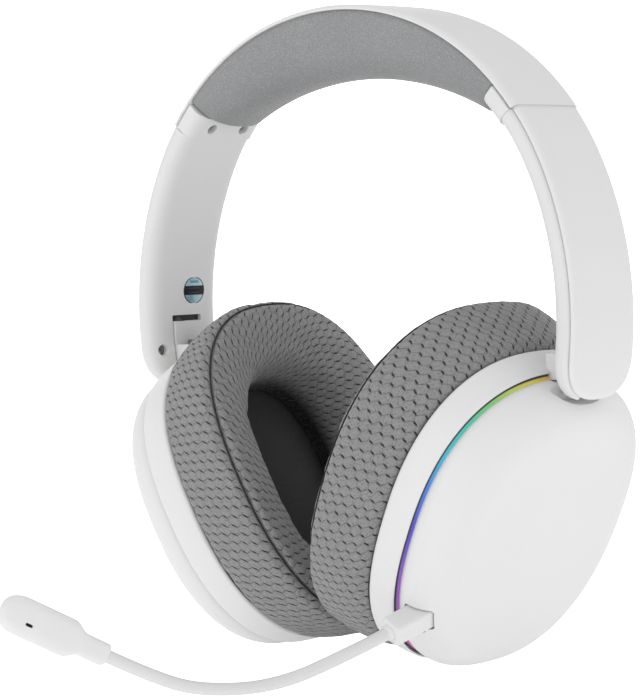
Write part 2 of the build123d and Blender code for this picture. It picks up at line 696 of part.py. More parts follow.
flip = Rot(0, 0, 0) if mic_side > 0 else Rot(180, 0, 0)
mic_place = mic_frame.location * flip
parts["mic_socket"] = cup_frame * mic_socket()
parts["mic_plug"] = cup_frame * mic_plug()
parts["mic_jack"] = cup_frame * mic_jack()
parts["mic_boom"] = mic_boom()
parts["mic_housing_front"] = mic_place * mic_half(True)
parts["mic_housing_back"] = mic_place * mic_half(False)
parts["mic_capsule"] = mic_place * (Pos(capsule_at, 0, 0) * Cylinder(3.0, 4.2))

os.makedirs("parts", exist_ok=True)
for name, solid in parts.items():
    export_step(solid, "parts/" + name + ".step")
print(len(parts), "nodes")
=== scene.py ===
"""Over-ear gaming headset: the visible surfaces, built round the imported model.

Shapes are worked out in millimetres in the model's frame (+X the wearer's left, +Y back, +Z up)
and stored in metres. Each cup is worked out once, in its own frame, and mirrored for the right ear.
"""
import json
from math import cos, pi, radians, sin, sqrt

import bmesh
import bpy
import numpy as np
from mathutils import Matrix, Vector

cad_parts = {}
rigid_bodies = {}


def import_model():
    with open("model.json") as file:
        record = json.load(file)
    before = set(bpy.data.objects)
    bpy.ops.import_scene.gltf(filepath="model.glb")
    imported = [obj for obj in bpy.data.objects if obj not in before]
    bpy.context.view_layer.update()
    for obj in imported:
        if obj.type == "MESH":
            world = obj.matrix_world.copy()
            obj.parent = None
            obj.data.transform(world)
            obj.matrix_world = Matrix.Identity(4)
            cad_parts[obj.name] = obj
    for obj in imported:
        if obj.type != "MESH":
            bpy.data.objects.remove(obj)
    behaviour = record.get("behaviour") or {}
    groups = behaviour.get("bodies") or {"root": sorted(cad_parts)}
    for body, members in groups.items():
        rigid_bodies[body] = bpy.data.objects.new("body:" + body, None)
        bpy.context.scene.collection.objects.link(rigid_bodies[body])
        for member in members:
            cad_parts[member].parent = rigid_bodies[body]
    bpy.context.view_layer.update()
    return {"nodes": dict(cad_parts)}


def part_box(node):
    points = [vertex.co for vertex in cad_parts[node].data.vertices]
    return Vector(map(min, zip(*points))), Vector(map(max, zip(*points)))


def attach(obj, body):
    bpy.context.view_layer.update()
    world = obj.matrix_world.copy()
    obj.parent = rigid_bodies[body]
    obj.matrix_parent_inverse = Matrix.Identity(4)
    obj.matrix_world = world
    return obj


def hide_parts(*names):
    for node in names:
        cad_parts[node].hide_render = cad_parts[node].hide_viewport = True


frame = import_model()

# ============================================================ camera, studio and floor
# A product shot: a long lens a little above the cups, a white cove that runs up all round,
# and large soft lamps. The cove is a bowl of pale paper lit from behind, turned about the vertical.
MM = 0.001


def grid_mesh(name, points, wrap_rows=False, wrap_cols=False, uv=None, tidy=True):
    """Mesh from a grid of points (rows, columns, xyz in mm): each cell is a face.

    Wrapping joins the last row or column to the first.

    uv is a grid of (u, v), one row or column longer than points wherever that direction wraps. tidy
    merges points that fall together, as at a pole, and turns the faces of the closed shape outwards.
    """
    rows, cols = points.shape[:2]
    i, j = np.meshgrid(np.arange(rows if wrap_rows else rows - 1),
                       np.arange(cols if wrap_cols else cols - 1), indexing="ij")
    i, j = i.ravel(), j.ravel()
    corners = [(i, j), (i + 1, j), (i + 1, j + 1), (i, j + 1)]
    quads = np.stack([(a % rows) * cols + b % cols for a, b in corners], axis=1)
    mesh = bpy.data.meshes.new(name)
    mesh.vertices.add(rows * cols)
    mesh.vertices.foreach_set("co", (points.reshape(-1, 3) * MM).astype(np.float32).ravel())
    mesh.loops.add(quads.size)
    mesh.loops.foreach_set("vertex_index", quads.astype(np.int32).ravel())
    mesh.polygons.add(len(quads))
    mesh.polygons.foreach_set("loop_start", np.arange(0, quads.size, 4, dtype=np.int32))
    if uv is not None:
        layer = mesh.uv_layers.new(name="UVMap")
        loop_uv = np.stack([uv[a, b] for a, b in corners], axis=1)
        layer.data.foreach_set("uv", loop_uv.astype(np.float32).ravel())
    mesh.update(calc_edges=True)
    mesh.polygons.foreach_set("use_smooth", np.ones(len(quads), bool))
    if tidy:
        work = bmesh.new()
        work.from_mesh(mesh)
        bmesh.ops.remove_doubles(work, verts=work.verts, dist=2e-6)
        bmesh.ops.dissolve_degenerate(work, edges=work.edges, dist=1e-7)
        bmesh.ops.recalc_face_normals(work, faces=work.faces)
        work.to_mesh(mesh)
        work.free()
    piece = bpy.data.objects.new(name, mesh)
    bpy.context.scene.collection.objects.link(piece)
    return piece


def places(piece):
    """Vertex places of a piece, in mm."""
    points = np.empty(len(piece.data.vertices) * 3)
    piece.data.vertices.foreach_get("co", points)
    return points.reshape(-1, 3) / MM


def set_places(piece, points):
    """Moves a piece's vertices to new places, in mm."""
    piece.data.vertices.foreach_set("co", (points * MM).ravel())
    piece.data.update()


class Link:
    """A socket inside a finish; arithmetic on it adds Math nodes."""

    def __init__(self, finish, socket):
        self.finish, self.socket = finish, socket

    def math(self, operation, *others):
        return self.finish.node("ShaderNodeMath", dict(enumerate((self, *others))), operation=operation)

    def __add__(self, other): return self.math("ADD", other)
    def __radd__(self, other): return self.math("ADD", other)
    def __sub__(self, other): return self.math("SUBTRACT", other)
    def __rsub__(self, other): return self.finish.node(
        "ShaderNodeMath", {0: other, 1: self}, operation="SUBTRACT")
    def __mul__(self, other): return self.math("MULTIPLY", other)
    def __rmul__(self, other): return self.math("MULTIPLY", other)
    def __truediv__(self, other): return self.math("DIVIDE", other)

    def sine(self): return self.math("SINE")
    def fraction(self): return self.math("FRACT")
    def floor(self): return self.math("FLOOR")
    def size(self): return self.math("ABSOLUTE")
    def clamped(self): return self.finish.node("ShaderNodeClamp", {"Value": self})

    def step(self, low, high):
        """0 below low, 1 above high, smooth between; swapped limits turn it round."""
        return self.finish.node("ShaderNodeMapRange", {"Value": self, "From Min": low, "From Max": high},
                                interpolation_type="SMOOTHSTEP")


class Finish:
    """A material being made: one principled shader, and node() for everything that feeds it."""

    def __init__(self, name, **constants):
        self.material = bpy.data.materials.new(name)
        self.material.use_nodes = True
        self.tree = self.material.node_tree
        self.shader = self.tree.nodes["Principled BSDF"]
        for label, value in constants.items():
            self.shader.inputs[label.replace("_", " ")].default_value = value

    def node(self, kind, sockets=None, out=0, stops=None, **settings):
        """Adds a node: its settings first, then values or links for its sockets; returns an output."""
        made = self.tree.nodes.new(kind)
        for label, value in settings.items():
            setattr(made, label, value)
        if stops:
            ramp = made.color_ramp
            while len(ramp.elements) < len(stops):
                ramp.elements.new(0.5)
            for element, (place, colour) in zip(ramp.elements, stops):
                element.position, element.color = place, (*colour, 1.0)
        for label, value in (sockets or {}).items():
            if isinstance(value, Link):
                self.tree.links.new(value.socket, made.inputs[label])
            else:
                made.inputs[label].default_value = value
        return Link(self, made.outputs[out])

    def place(self, out="Object"):
        """Coordinates: Object (metres in the model's frame) or UV."""
        return self.node("ShaderNodeTexCoord", out=out)

    def noise(self, scale, detail=2.0, where=None, **settings):
        return self.node("ShaderNodeTexNoise", {"Vector": where or self.place(), "Scale": scale,
                                                "Detail": detail}, **settings)

    def mix(self, factor, first, second):
        """Colour between first and second."""
        made = self.tree.nodes.new("ShaderNodeMix")
        made.data_type = "RGBA"
        for socket, value in zip((made.inputs[0], made.inputs[6], made.inputs[7]), (factor, first, second)):
            if isinstance(value, Link):
                self.tree.links.new(value.socket, socket)
            else:
                socket.default_value = (*value, 1.0) if isinstance(value, tuple) else value
        return Link(self, made.outputs[2])

    def feed(self, **inputs):
        for label, value in inputs.items():
            self.tree.links.new(value.socket, self.shader.inputs[label.replace("_", " ")])

    def bump(self, height, distance, strength=1.0):
        """Normal from a height field; distance is metres for a height of 1."""
        self.feed(Normal=self.node("ShaderNodeBump", {"Height": height, "Distance": distance,
                                                      "Strength": strength}))


def put_on(piece, finish):
    """Gives a piece one finish."""
    piece.data.materials.clear()
    piece.data.materials.append(finish.material)


def fit(piece, finish, slot, body, *nodes):
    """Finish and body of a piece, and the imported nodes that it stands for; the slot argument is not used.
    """
    put_on(piece, finish)
    if nodes:
        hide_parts(*nodes)
    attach(piece, body)


camera_data = bpy.data.cameras.new("camera")
camera_data.sensor_width = 36.0
camera_data.lens = 147.9
camera_data.clip_start, camera_data.clip_end = 0.05, 20.0
camera = bpy.data.objects.new("camera", camera_data)
camera_back, camera_right = Vector((0.69825, -0.71426, 0.04770)), Vector((0.71508, 0.69904, 0.0))
camera_up = camera_back.cross(camera_right)
roll = radians(-1.26)
rolled_right = cos(roll) * camera_right + sin(roll) * camera_up
rolled_up = camera_back.cross(rolled_right)
camera.matrix_world = Matrix.Translation((0.6060, -0.6428, 0.0882)) @ Matrix(
    (rolled_right, rolled_up, camera_back)).transposed().to_4x4()
bpy.context.scene.collection.objects.link(camera)
bpy.context.scene.camera = camera

floor_z = min(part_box(node)[0].z for node in frame["nodes"]) / MM
cove_radius, cove_rise = 2600.0, 900.0


def cove_surface():
    """Bowl turned about Z: flat to a radius, then a quarter circle up."""
    flat = np.linspace(0.0, 1.0, 12)[:, None] * [cove_radius - cove_rise, 0.0]
    bend = np.linspace(0.0, pi / 2, 14)[1:, None]
    rise = np.concatenate([cove_radius - cove_rise + cove_rise * np.sin(bend),
                           cove_rise - cove_rise * np.cos(bend)], axis=1)
    profile = np.concatenate([flat, rise])
    turn = np.linspace(0.0, 2 * pi, 97)[:-1]
    x = profile[:, :1] * np.cos(turn)
    y = profile[:, :1] * np.sin(turn)
    z = np.repeat(profile[:, 1:] + floor_z - 0.1, len(turn), axis=1)
    return np.stack([x, y, z], axis=2)


cove = grid_mesh("studio_floor", cove_surface(), wrap_cols=True)
paper = Finish("pale_paper", Roughness=0.85)
tone = paper.noise(3.0).step(0.2, 0.8)
paper.feed(Base_Color=paper.mix(tone, (0.93, 0.93, 0.935), (0.95, 0.95, 0.95)))
seen = paper.node("ShaderNodeLightPath", out=0)
paper.shader.inputs["Emission Strength"].default_value = 1.0
paper.feed(Emission_Color=paper.mix(seen, (0.28, 0.28, 0.28), (0.95, 0.95, 0.95)))
put_on(cove, paper)

world = bpy.data.worlds.new("studio")
world.use_nodes = True
world.node_tree.nodes["Background"].inputs["Color"].default_value = (1.0, 1.0, 1.0, 1.0)
world.node_tree.nodes["Background"].inputs["Strength"].default_value = 0.62
bpy.context.scene.world = world
bpy.context.scene.view_settings.view_transform = "Standard"


def soft_lamp(name, place, power, size):
    """Square area lamp aimed at the middle of the headset; place in metres."""
    data = bpy.data.lights.new(name, "AREA")
    data.energy, data.size = power, size
    lamp = bpy.data.objects.new(name, data)
    lamp.location = place
    aim = Vector((0.0, 0.0, 0.04)) - Vector(place)
    lamp.rotation_euler = aim.to_track_quat("-Z", "Y").to_euler()
    bpy.context.scene.collection.objects.link(lamp)


soft_lamp("key_front_left", (-0.35, -1.5, 0.75), 3.6, 0.9)
soft_lamp("fill_right", (1.5, -0.1, 0.6), 0.9, 1.1)
soft_lamp("top", (0.0, 0.2, 1.5), 3.4, 1.2)
soft_lamp("back_left", (-1.3, 0.9, 0.7), 1.3, 0.9)

# ============================================================ crown shell
# The visible top of the headband: one satin white moulding, 2.4 mm thick with soft long edges,
# that hides the steel band. Its outline is three tangent arcs a side, as the real tool is cut.
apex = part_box("headband_shell")[1].z / MM
band_arcs = [(99.0, 19.1), (86.5, 43.7), (101.0, 42.0)]
half_width = 15.0
cap_start, arm_start, arm_end = 44.9, 51.4, 104.8


def band_centres():
    """Centre x, z, radius and first angle of each arc, from the apex down."""
    centres, x, z, angle = [], 0.0, apex, 0.0
    for radius, turn in band_arcs:
        cx, cz = x - radius * sin(radians(angle)), z - radius * cos(radians(angle))
        centres.append((cx, cz, radius, angle))
        angle += turn
        x, z = cx + radius * sin(radians(angle)), cz + radius * cos(radians(angle))
    return centres


def on_band(angle, y, depth):
    """Points at a slope angle (degrees from the apex), across y and under the outer surface by depth.

    Each point is its arc's centre plus (radius - depth) along the direction (sin, cos) of the angle;
    negative angles are the mirror image.
    """
    angle, y, depth = np.broadcast_arrays(*(np.asarray(a, float) for a in (angle, y, depth)))
    size, side = np.abs(angle), np.where(angle < 0, -1.0, 1.0)
    x, z = np.zeros(size.shape), np.zeros(size.shape)
    for cx, cz, radius, first in band_centres():
        here = size >= first
        reach = radius - depth
        x = np.where(here, cx + reach * np.sin(np.radians(size)), x)
        z = np.where(here, cz + reach * np.cos(np.radians(size)), z)
    return np.stack([side * x, y, z], axis=-1)


def band_length(angle):
    """Length along the outer surface from the apex."""
    length, angle = 0.0, abs(angle)
    for radius, turn in band_arcs:
        length += radius * radians(min(angle, turn))
        angle = max(0.0, angle - turn)
    return length


def soft_ends(angles, end_round, step_degrees):
    """Rows and how far each is pulled in: extra rows at both ends follow a small quarter round."""
    bend = np.linspace(0.0, pi / 2, 5)
    reach = np.degrees(end_round / 90.0)
    start = angles[0] + reach * (1 - np.sin(pi / 2 - bend))
    inset_start = end_round * (1 - np.sin(bend))
    end = angles[1] - (start - angles[0])[::-1]
    middle = np.arange(angles[0] + 2 * reach, angles[1] - 2 * reach, step_degrees)
    rows = np.concatenate([start, middle, end])
    inset = np.concatenate([inset_start, np.zeros(len(middle)), inset_start[::-1]])
    return rows, inset


def closed_sweep(name, section, rows, inset, uv_scale=None):
    """Carries a closed section (y, depth) along the band; section is a function of the angle.

    Each row is pulled towards its own middle by its inset, and both ends close in a fan of rows
    drawn to that middle.
    """
    grid, u = [], []
    for angle, pull in zip(rows, inset):
        y, depth = section(angle)
        middle_y, middle_depth = y.mean(), depth.mean()
        away = np.hypot(y - middle_y, depth - middle_depth)
        keep = np.clip(1 - pull / np.maximum(away, 1e-6), 0, 1)
        grid.append(on_band(angle, middle_y + (y - middle_y) * keep,
                            middle_depth + (depth - middle_depth) * keep))
        u.append(band_length(angle) * (-1 if angle < 0 else 1))
    first, last = grid[0], grid[-1]
    for fraction in (0.6, 0.25, 0.0):
        grid.insert(0, first.mean(0) + (first - first.mean(0)) * fraction)
        grid.append(last.mean(0) + (last - last.mean(0)) * fraction)
        u.insert(0, u[0])
        u.append(u[-1])
    points = np.stack(grid)
    uv = None
    if uv_scale:
        y, depth = section(0.5 * (rows[0] + rows[-1]))
        steps = np.hypot(np.diff(y, append=y[0]), np.diff(depth, append=depth[0]))
        girth = np.concatenate([[0], np.cumsum(steps)])
        uv = np.stack(np.meshgrid(np.array(u) * uv_scale, girth * uv_scale, indexing="ij"), axis=2)
    return grid_mesh(name, points, wrap_cols=True, uv=uv)


def quarter(y0, d0, y1, d1, count=7):
    """Elliptic quarter from (y0, d0) to (y1, d1), leaving along y."""
    t = np.linspace(0, pi / 2, count)
    return y0 + (y1 - y0) * np.sin(t), d0 + (d1 - d0) * (1 - np.cos(t))


def mirrored_section(right):
    """Closes a half section, given from its top middle to its bottom middle, with its mirror image."""
    y, depth = np.concatenate([right[0], -right[0][::-1]]), np.concatenate([right[1], right[1][::-1]])
    return y, depth


def crown_section(angle):
    """Crown across its width: slightly crowned top, 2.2 mm soft edge, thin lip, recessed underside."""
    top = np.linspace(0.0, half_width - 2.6, 10)
    edge = quarter(half_width - 2.6, 0.12, half_width, 1.35)
    y = np.concatenate([top, edge[0][1:], [half_width, half_width - 0.15, half_width - 0.9,
                                           half_width - 1.6, 6.0, 1.0]])
    depth = np.concatenate([0.12 * (top / (half_width - 2.6)) ** 2, edge[1][1:],
                            [1.55, 1.7, 1.75, 2.3, 2.4, 2.4]])
    return mirrored_section((y, depth))


def satin_white(name, tint, roughness, grain):
    """Injection-moulded ABS: even white, a faint cloudiness, fine spark-eroded grain."""
    finish = Finish(name, Specular_IOR_Level=0.42)
    cloud = finish.noise(26.0, 3.0).step(0.3, 0.75)
    speck = finish.noise(5200.0, 1.0)
    finish.feed(Base_Color=finish.mix(cloud, tuple(c * 0.985 for c in tint), tint),
                Roughness=speck * 0.08 + cloud * 0.03 + (roughness - 0.05))
    finish.bump(speck, grain, 0.5)
    return finish


white_plastic = satin_white("satin_white_shell", (0.79, 0.79, 0.792), 0.42, 0.000012)
white_inner = satin_white("satin_white_inner", (0.76, 0.76, 0.762), 0.5, 0.00002)

crown_rows, crown_inset = soft_ends((-arm_start + 0.06, arm_start - 0.06), 0.22, 1.1)
crown = closed_sweep("crown_shell", crown_section, crown_rows, crown_inset)
fit(crown, white_plastic, "white_plastic", "headband", "headband_shell")

# ============================================================ end caps
# The white blocks that close the crown beside each arm, screwed up from inside through two
# recessed holes. Their inner corners have the same large round as the arms.
cap_depth, arm_depth = 9.4, 8.8


def inner_section(depth0, depth1, width, corner_y, corner_d):
    """Half section of an inner moulding: square at the parting, a large elliptic inner corner."""
    straight = np.array([0.0, width - 1.6, width - 0.25, width])
    straight_d = np.array([depth0, depth0, depth0 + 0.03, depth0 + 0.28])
    t = np.linspace(0, pi / 2, 12)
    y = width - corner_y * (1 - np.cos(t))
    depth = depth1 - corner_d * (1 - np.sin(t))
    flat = np.linspace(width - corner_y, 0.0, 7)[1:]
    return (np.concatenate([straight, y, flat]), np.concatenate([straight_d, depth, np.full(6, depth1)]))


def cut(piece, cutters):
    """Takes each cutter out of the piece, then removes the cutters; edges over 38 degrees stay crisp."""
    for cutter in cutters:
        tool = piece.modifiers.new("cut", "BOOLEAN")
        tool.operation, tool.solver, tool.object = "DIFFERENCE", "EXACT", cutter
    bpy.context.view_layer.update()
    shape = bpy.data.meshes.new_from_object(piece.evaluated_get(bpy.context.evaluated_depsgraph_get()))
    piece.modifiers.clear()
    piece.data = shape
    shape.polygons.foreach_set("use_smooth", np.ones(len(shape.polygons), bool))
    shape.set_sharp_from_angle(angle=radians(38))
    for cutter in cutters:
        bpy.data.objects.remove(cutter)
    return piece


def lathe(name, profile, place, axis, steps=40):
    """Turns a profile of (radius, height) about an axis through place, all in mm."""
    axis = np.array(axis, float) / np.linalg.norm(axis)
    side = np.cross(axis, [0.3, 1.0, 0.2])
    side /= np.linalg.norm(side)
    other = np.cross(axis, side)
    turn = np.linspace(0, 2 * pi, steps + 1)[:-1]
    profile = np.array(profile, float)
    round_ = np.cos(turn)[:, None] * side + np.sin(turn)[:, None] * other
    points = (np.array(place, float) + profile[:, None, :1] * round_[None] + profile[:, None, 1:] * axis)
    return grid_mesh(name, points, wrap_cols=True)


def band_normal(angle):
    """Outward direction of the band at an angle, on the left arm."""
    return np.array([sin(radians(angle)), 0.0, cos(radians(angle))])


def screw_well(place, out, radius, depth):
    """Cutter for a screw's recess: a plain well with a small lead-in at the mouth."""
    return lathe("well", [(0, -depth), (radius, -depth), (radius, -0.25), (radius + 0.3, 0.05),
                          (radius + 0.3, 1.2), (0, 1.2)], place, out, 32)


def screw_head(name, place, out, radius):
    """Small pan-head screw with a cross recess: a polar grid whose height dips inside the cross."""
    out = np.array(out, float)
    side = np.cross(out, [0.2, 0.1, 1.0])
    side /= np.linalg.norm(side)
    other = np.cross(out, side)
    r = np.array([0, .12, .24, .36, .44, .5, .56, .64, .76, .88, .96, 1.0, 1.0])[:, None] * radius
    turn = np.linspace(0, 2 * pi, 49)[None, :-1]
    a, b = r * np.cos(turn), r * np.sin(turn)
    arm = np.minimum(np.abs(a), np.abs(b)) / radius
    reach = np.maximum(np.abs(a), np.abs(b)) / radius
    dip = np.clip((0.17 - arm) / 0.06, 0, 1) * np.clip((0.62 - reach) / 0.08, 0, 1)
    height = 0.55 - 0.25 * (r / radius) ** 4 - 0.5 * dip
    height[-1] = 0.0
    under = np.zeros((1, 48))
    a, b, height = (np.concatenate([g, e]) for g, e in ((a, under), (b, under), (height, under)))
    points = np.array(place, float) + a[..., None] * side + b[..., None] * other + height[..., None] * out
    return grid_mesh(name, points, wrap_cols=True)


screw_metal = Finish("dark_nickel_screw", Metallic=1.0)
scuffs = screw_metal.noise(900.0, 4.0)
screw_metal.feed(Base_Color=screw_metal.mix(scuffs, (0.16, 0.16, 0.165), (0.34, 0.34, 0.35)),
                 Roughness=scuffs * 0.25 + 0.25)

cap_middle = (cap_start + arm_start) / 2
cap_rows, cap_inset = soft_ends((cap_start, arm_start - 0.06), 0.22, 0.7)


def cap_section(angle):
    """End cap across its width, the same all along."""
    return mirrored_section(inner_section(2.42, cap_depth, half_width - 0.05, 5.5, 4.2))


for side, sign in (("left", 1), ("right", -1)):
    rows = cap_rows if sign > 0 else -cap_rows[::-1]
    cap = closed_sweep("end_cap_" + side + "_moulding", cap_section, rows, cap_inset[::sign])
    inward = -band_normal(cap_middle) * [sign, 1, 1]
    wells, heads = [], []
    for y in (-6.9, 6.9):
        face = on_band(sign * cap_middle, y, cap_depth)
        wells.append(screw_well(face, inward, 1.75, 2.6))
        heads.append(screw_head("end_cap_screw_" + side + ("_front" if y < 0 else "_rear"),
                                face - inward * 2.2, inward, 1.55))
    cut(cap, wells)
    fit(cap, white_inner, "white_plastic", "headband", "end_cap_" + side)
    for head in heads:
        fit(head, screw_metal, "screw_steel", "headband", "end_cap_screws")

# ============================================================ arms
# Each arm is two mouldings that meet in a fine parting groove: an outer cover with a soft edge
# and a rounded tip, and an inner cover, slotted for the sliding stem and screwed from inside.
tip_length, tip_power = 15.0, 2.5
outer_depth, outer_inset = 1.9, 1.05


def superellipse(t, power):
    """Unit superellipse, |y|^power + |z|^power = 1, at the parameter t."""
    return tuple(np.sign(part) * np.abs(part) ** (2 / power) for part in (np.cos(t), np.sin(t)))


def arm_outline(count_side=46, count_tip=40):
    """Outline and spine of the arm, laid flat: angle along the band and y.

    Straight sides run down to a superelliptic tip; the spine is the middle line, which stops short
    of the tip by the tip's length.
    """
    per_degree = radians(band_arcs[2][0])
    tip = arm_end - tip_length / per_degree
    down = np.linspace(arm_start + 0.06, tip, count_side)[:-1]
    t = np.linspace(0, pi, count_tip)
    tip_y, tip_reach = superellipse(t, tip_power)
    tip_angle = tip + tip_reach * tip_length / per_degree
    angle = np.concatenate([down, tip_angle, down[::-1]])
    y = np.concatenate([np.full(len(down), half_width), tip_y * half_width, np.full(len(down), -half_width)])
    spine = np.concatenate([down, np.full(count_tip, tip), down[::-1]])
    return angle, y, spine


def tongue(name, profile, sign):
    """Closed shape over the arm's outline from a profile of (inset, depth) rows.

    Each row moves the outline towards the spine by its inset, as a fraction of the distance; the
    first and last rows lie on the spine. The flat top end is the bridge between the two side columns.
    """
    angle, y, spine = arm_outline()
    per_degree = radians(band_arcs[2][0])
    reach = np.hypot((angle - spine) * per_degree, y)
    keep = np.where(profile[:, :1] >= half_width, 0.0, 1 - np.clip(profile[:, :1] / reach, 0, 1))
    row_angle = spine + (angle - spine) * keep
    row_y = y * keep
    depth = np.repeat(profile[:, 1:], len(y), axis=1)
    return grid_mesh(name, on_band(sign * row_angle, row_y, depth), wrap_cols=True)


def outer_profile():
    """Outer cover: slightly crowned face, soft edge round, parting edge set in from the arm's side."""
    start = outer_inset + 2.2
    edge = quarter(start, 0.1, outer_inset, 1.35, 9)
    face = np.linspace(half_width, start, 12)[:-1]
    crown_rise = 0.1 * ((half_width - face) / (half_width - start)) ** 2
    return np.concatenate([np.stack([face, crown_rise], 1), np.stack(edge, 1),
                           [[outer_inset + 0.08, 1.7], [outer_inset + 0.4, outer_depth],
                            [outer_inset + 2.0, outer_depth], [half_width, outer_depth]]])


def inner_profile():
    """Inner cover: parting groove, rolled shoulder, straight wall, large inner corner, flat inner face."""
    shoulder = quarter(outer_inset + 0.25, outer_depth + 0.12, 0.02, outer_depth + 1.5, 7)
    t = np.linspace(0, pi / 2, 12)
    corner = np.stack([6.0 * (1 - np.cos(t)) + 0.02, arm_depth - 4.4 * (1 - np.sin(t))], 1)
    flat = np.linspace(6.0, half_width, 7)[1:, None]
    return np.concatenate([[[half_width, outer_depth + 0.03], [outer_inset + 0.6, outer_depth + 0.03]],
                           np.stack(shoulder, 1), corner, flat * [1, 0] + [0, arm_depth]])


def block(name, low, high, corner, cuts=5):
    """Box with rounded corners and edges: a cube's skin clamped to the core, plus the corner radius.

    Each face is a grid that is dense near its borders, so that the rounding is smooth.
    """
    low, high = np.array(low, float), np.array(high, float)
    bend = np.tan(np.linspace(0, pi / 4, cuts))
    line = np.concatenate([-1 - 1 + bend, [0.0], 2 - bend[::-1]]) / 2
    a, b = np.meshgrid(line, line, indexing="ij")
    core = (high - low) / 2 - corner
    work = bmesh.new()
    for axis in range(3):
        for side in (-1.0, 1.0):
            skin = np.zeros((*a.shape, 3))
            skin[..., axis] = side
            skin[..., (axis + 1) % 3], skin[..., (axis + 2) % 3] = a, b
            flat = np.abs(skin) <= 0.5
            away = np.where(flat, 0.0, (np.abs(skin) - 0.5) * 2) * np.sign(skin)
            length = np.linalg.norm(away, axis=-1, keepdims=True)
            place = np.where(flat, skin * 2 * core, np.sign(skin) * core)
            place = place + corner * away / np.maximum(length, 1e-9)
            place = (place + (low + high) / 2) * MM
            rows = [[work.verts.new(p) for p in row] for row in place]
            for i in range(len(line) - 1):
                for j in range(len(line) - 1):
                    work.faces.new((rows[i][j], rows[i + 1][j], rows[i + 1][j + 1], rows[i][j + 1]))
    bmesh.ops.remove_doubles(work, verts=work.verts, dist=1e-6)
    bmesh.ops.recalc_face_normals(work, faces=work.faces)
    mesh = bpy.data.meshes.new(name)
    work.to_mesh(mesh)
    work.free()
    mesh.polygons.foreach_set("use_smooth", np.ones(len(mesh.polygons), bool))
    piece = bpy.data.objects.new(name, mesh)
    bpy.context.scene.collection.objects.link(piece)
    return piece


arm_centre = band_centres()[2]
arm_screw_spots = [(-11.0, 44.4), (11.0, 44.4)]
well_start = 0.495
slot_half, slot_top = 6.3, 55.5


def inner_face_x(z, depth):
    """X of the left arm's surface at a height and depth."""
    cx, cz, radius, _ = arm_centre
    return cx + sqrt((radius - depth) ** 2 - (z - cz) ** 2)


for side, sign in (("left", 1), ("right", -1)):
    outer = tongue("arm_outer_" + side, outer_profile(), sign)
    fit(outer, white_plastic, "white_plastic", "headband", "arm_outer_cover_" + side)

    inner = tongue("arm_inner_" + side, inner_profile(), sign)
    x_low, x_high = sorted((sign * 76.0, sign * 88.6))
    cutters = [block("slot", (x_low, -slot_half, 20.0), (x_high, slot_half, slot_top), 0.4)]
    heads = []
    for y, z in arm_screw_spots:
        x = inner_face_x(z, arm_depth)
        out = np.array([-sign, 0.0, 0.0])
        cutters.append(screw_well((sign * (x + well_start), y, z), out, 1.75, 2.4))
        heads.append(screw_head("arm_screw_" + side + f"_{int(z)}_" + ("front" if y < 0 else "rear"),
                                (sign * (x + 2.3), y, z), out, 1.6))
    cut(inner, cutters)
    fit(inner, white_inner, "white_inner_plastic", "headband", "arm_inner_cover_" + side)
    for head in heads:
        fit(head, screw_metal, "screw_steel", "headband", "arm_screws")

# ============================================================ headband pad
# A crescent of foam wrapped in smooth grey leatherette, glued to the base under the crown. It is
# deepest at the apex, bulges a little past the shell's lip, and ends against the end caps.
pad_apex_depth, pad_end = 22.5, cap_start - 0.12


def pad_depth(length):
    """Depth of the pad's lowest line: falls with the square and fourth power of the distance."""
    return pad_apex_depth - 0.0014 * length ** 2 - 7e-8 * length ** 4


def pad_section(angle):
    """Pad across its width: flat top, sides that leave the lip upright, one full soft curve below."""
    deep = pad_depth(band_length(angle))
    t = np.linspace(0, pi / 2, 26)
    width = half_width - 0.55
    y = width * np.cos(t) ** 0.86
    depth = 2.0 + (deep - 2.0) * np.sin(t) ** 0.92
    top = np.linspace(0.0, width - 0.9, 8)
    return mirrored_section((np.concatenate([top, y]), np.concatenate([np.full(8, 1.82), depth])))


leatherette = Finish("grey_leatherette", Specular_IOR_Level=0.45, Sheen_Weight=0.06)
pores = leatherette.node("ShaderNodeTexVoronoi", {"Vector": leatherette.place("UV"), "Scale": 1100.0,
                                                  "Randomness": 1.0}, feature="DISTANCE_TO_EDGE")
pebble = pores.step(0.0, 0.35)
wear = leatherette.noise(40.0, 3.0).step(0.3, 0.8)
leatherette.feed(
    Base_Color=leatherette.mix(pebble * 0.8 + wear * 0.2, (0.240, 0.243, 0.247), (0.330, 0.333, 0.337)),
    Roughness=0.62 - pebble * 0.14 - wear * 0.05)
leatherette.bump(pebble + leatherette.noise(2500.0) * 0.2, 0.00006, 0.6)

pad_rows, pad_inset = soft_ends((-pad_end, pad_end), 1.6, 0.8)
pad = closed_sweep("crown_pad", pad_section, pad_rows, pad_inset, uv_scale=MM)
put_on(pad, leatherette)
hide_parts("headband_pad")
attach(pad, "headband")

# ============================================================ cup shells
# The rear housing of each cup: a white ring wall between the ear cushion and the light groove,
# with a soft edge at both ends. The left one is pierced for the keys, wheel and charging socket.
cup_centre, cup_tilt, cup_lean = np.array([54.0, -0.6, -2.7]), 26.6, 2.8
swivel_x, pivot_x, pivot_z = 78.0, 76.5, 29.5
right_swivel, right_tilt = -6.6, 2.2
outline_power, outline_flare = 2.39, 0.037


def turned(points, axis, degrees_, about=(0.0, 0.0, 0.0)):
    """Points turned by the right-hand rule about a frame axis through a point."""
    matrix = np.array(Matrix.Rotation(radians(degrees_), 3, axis))
    return (points - np.array(about)) @ matrix.T + np.array(about)


def cup_place(points, side):
    """Points from the cup's frame to the model's; the right cup is the left one turned and mirrored."""
    points = turned(turned(points, "X", cup_lean), "Y", cup_tilt) + cup_centre
    if side == "right":
        points = turned(points, "Y", -right_tilt, (pivot_x, 0.0, pivot_z))
        points = turned(points, "Z", right_swivel, (swivel_x, 0.0, 0.0)) * [-1, 1, 1]
    return points


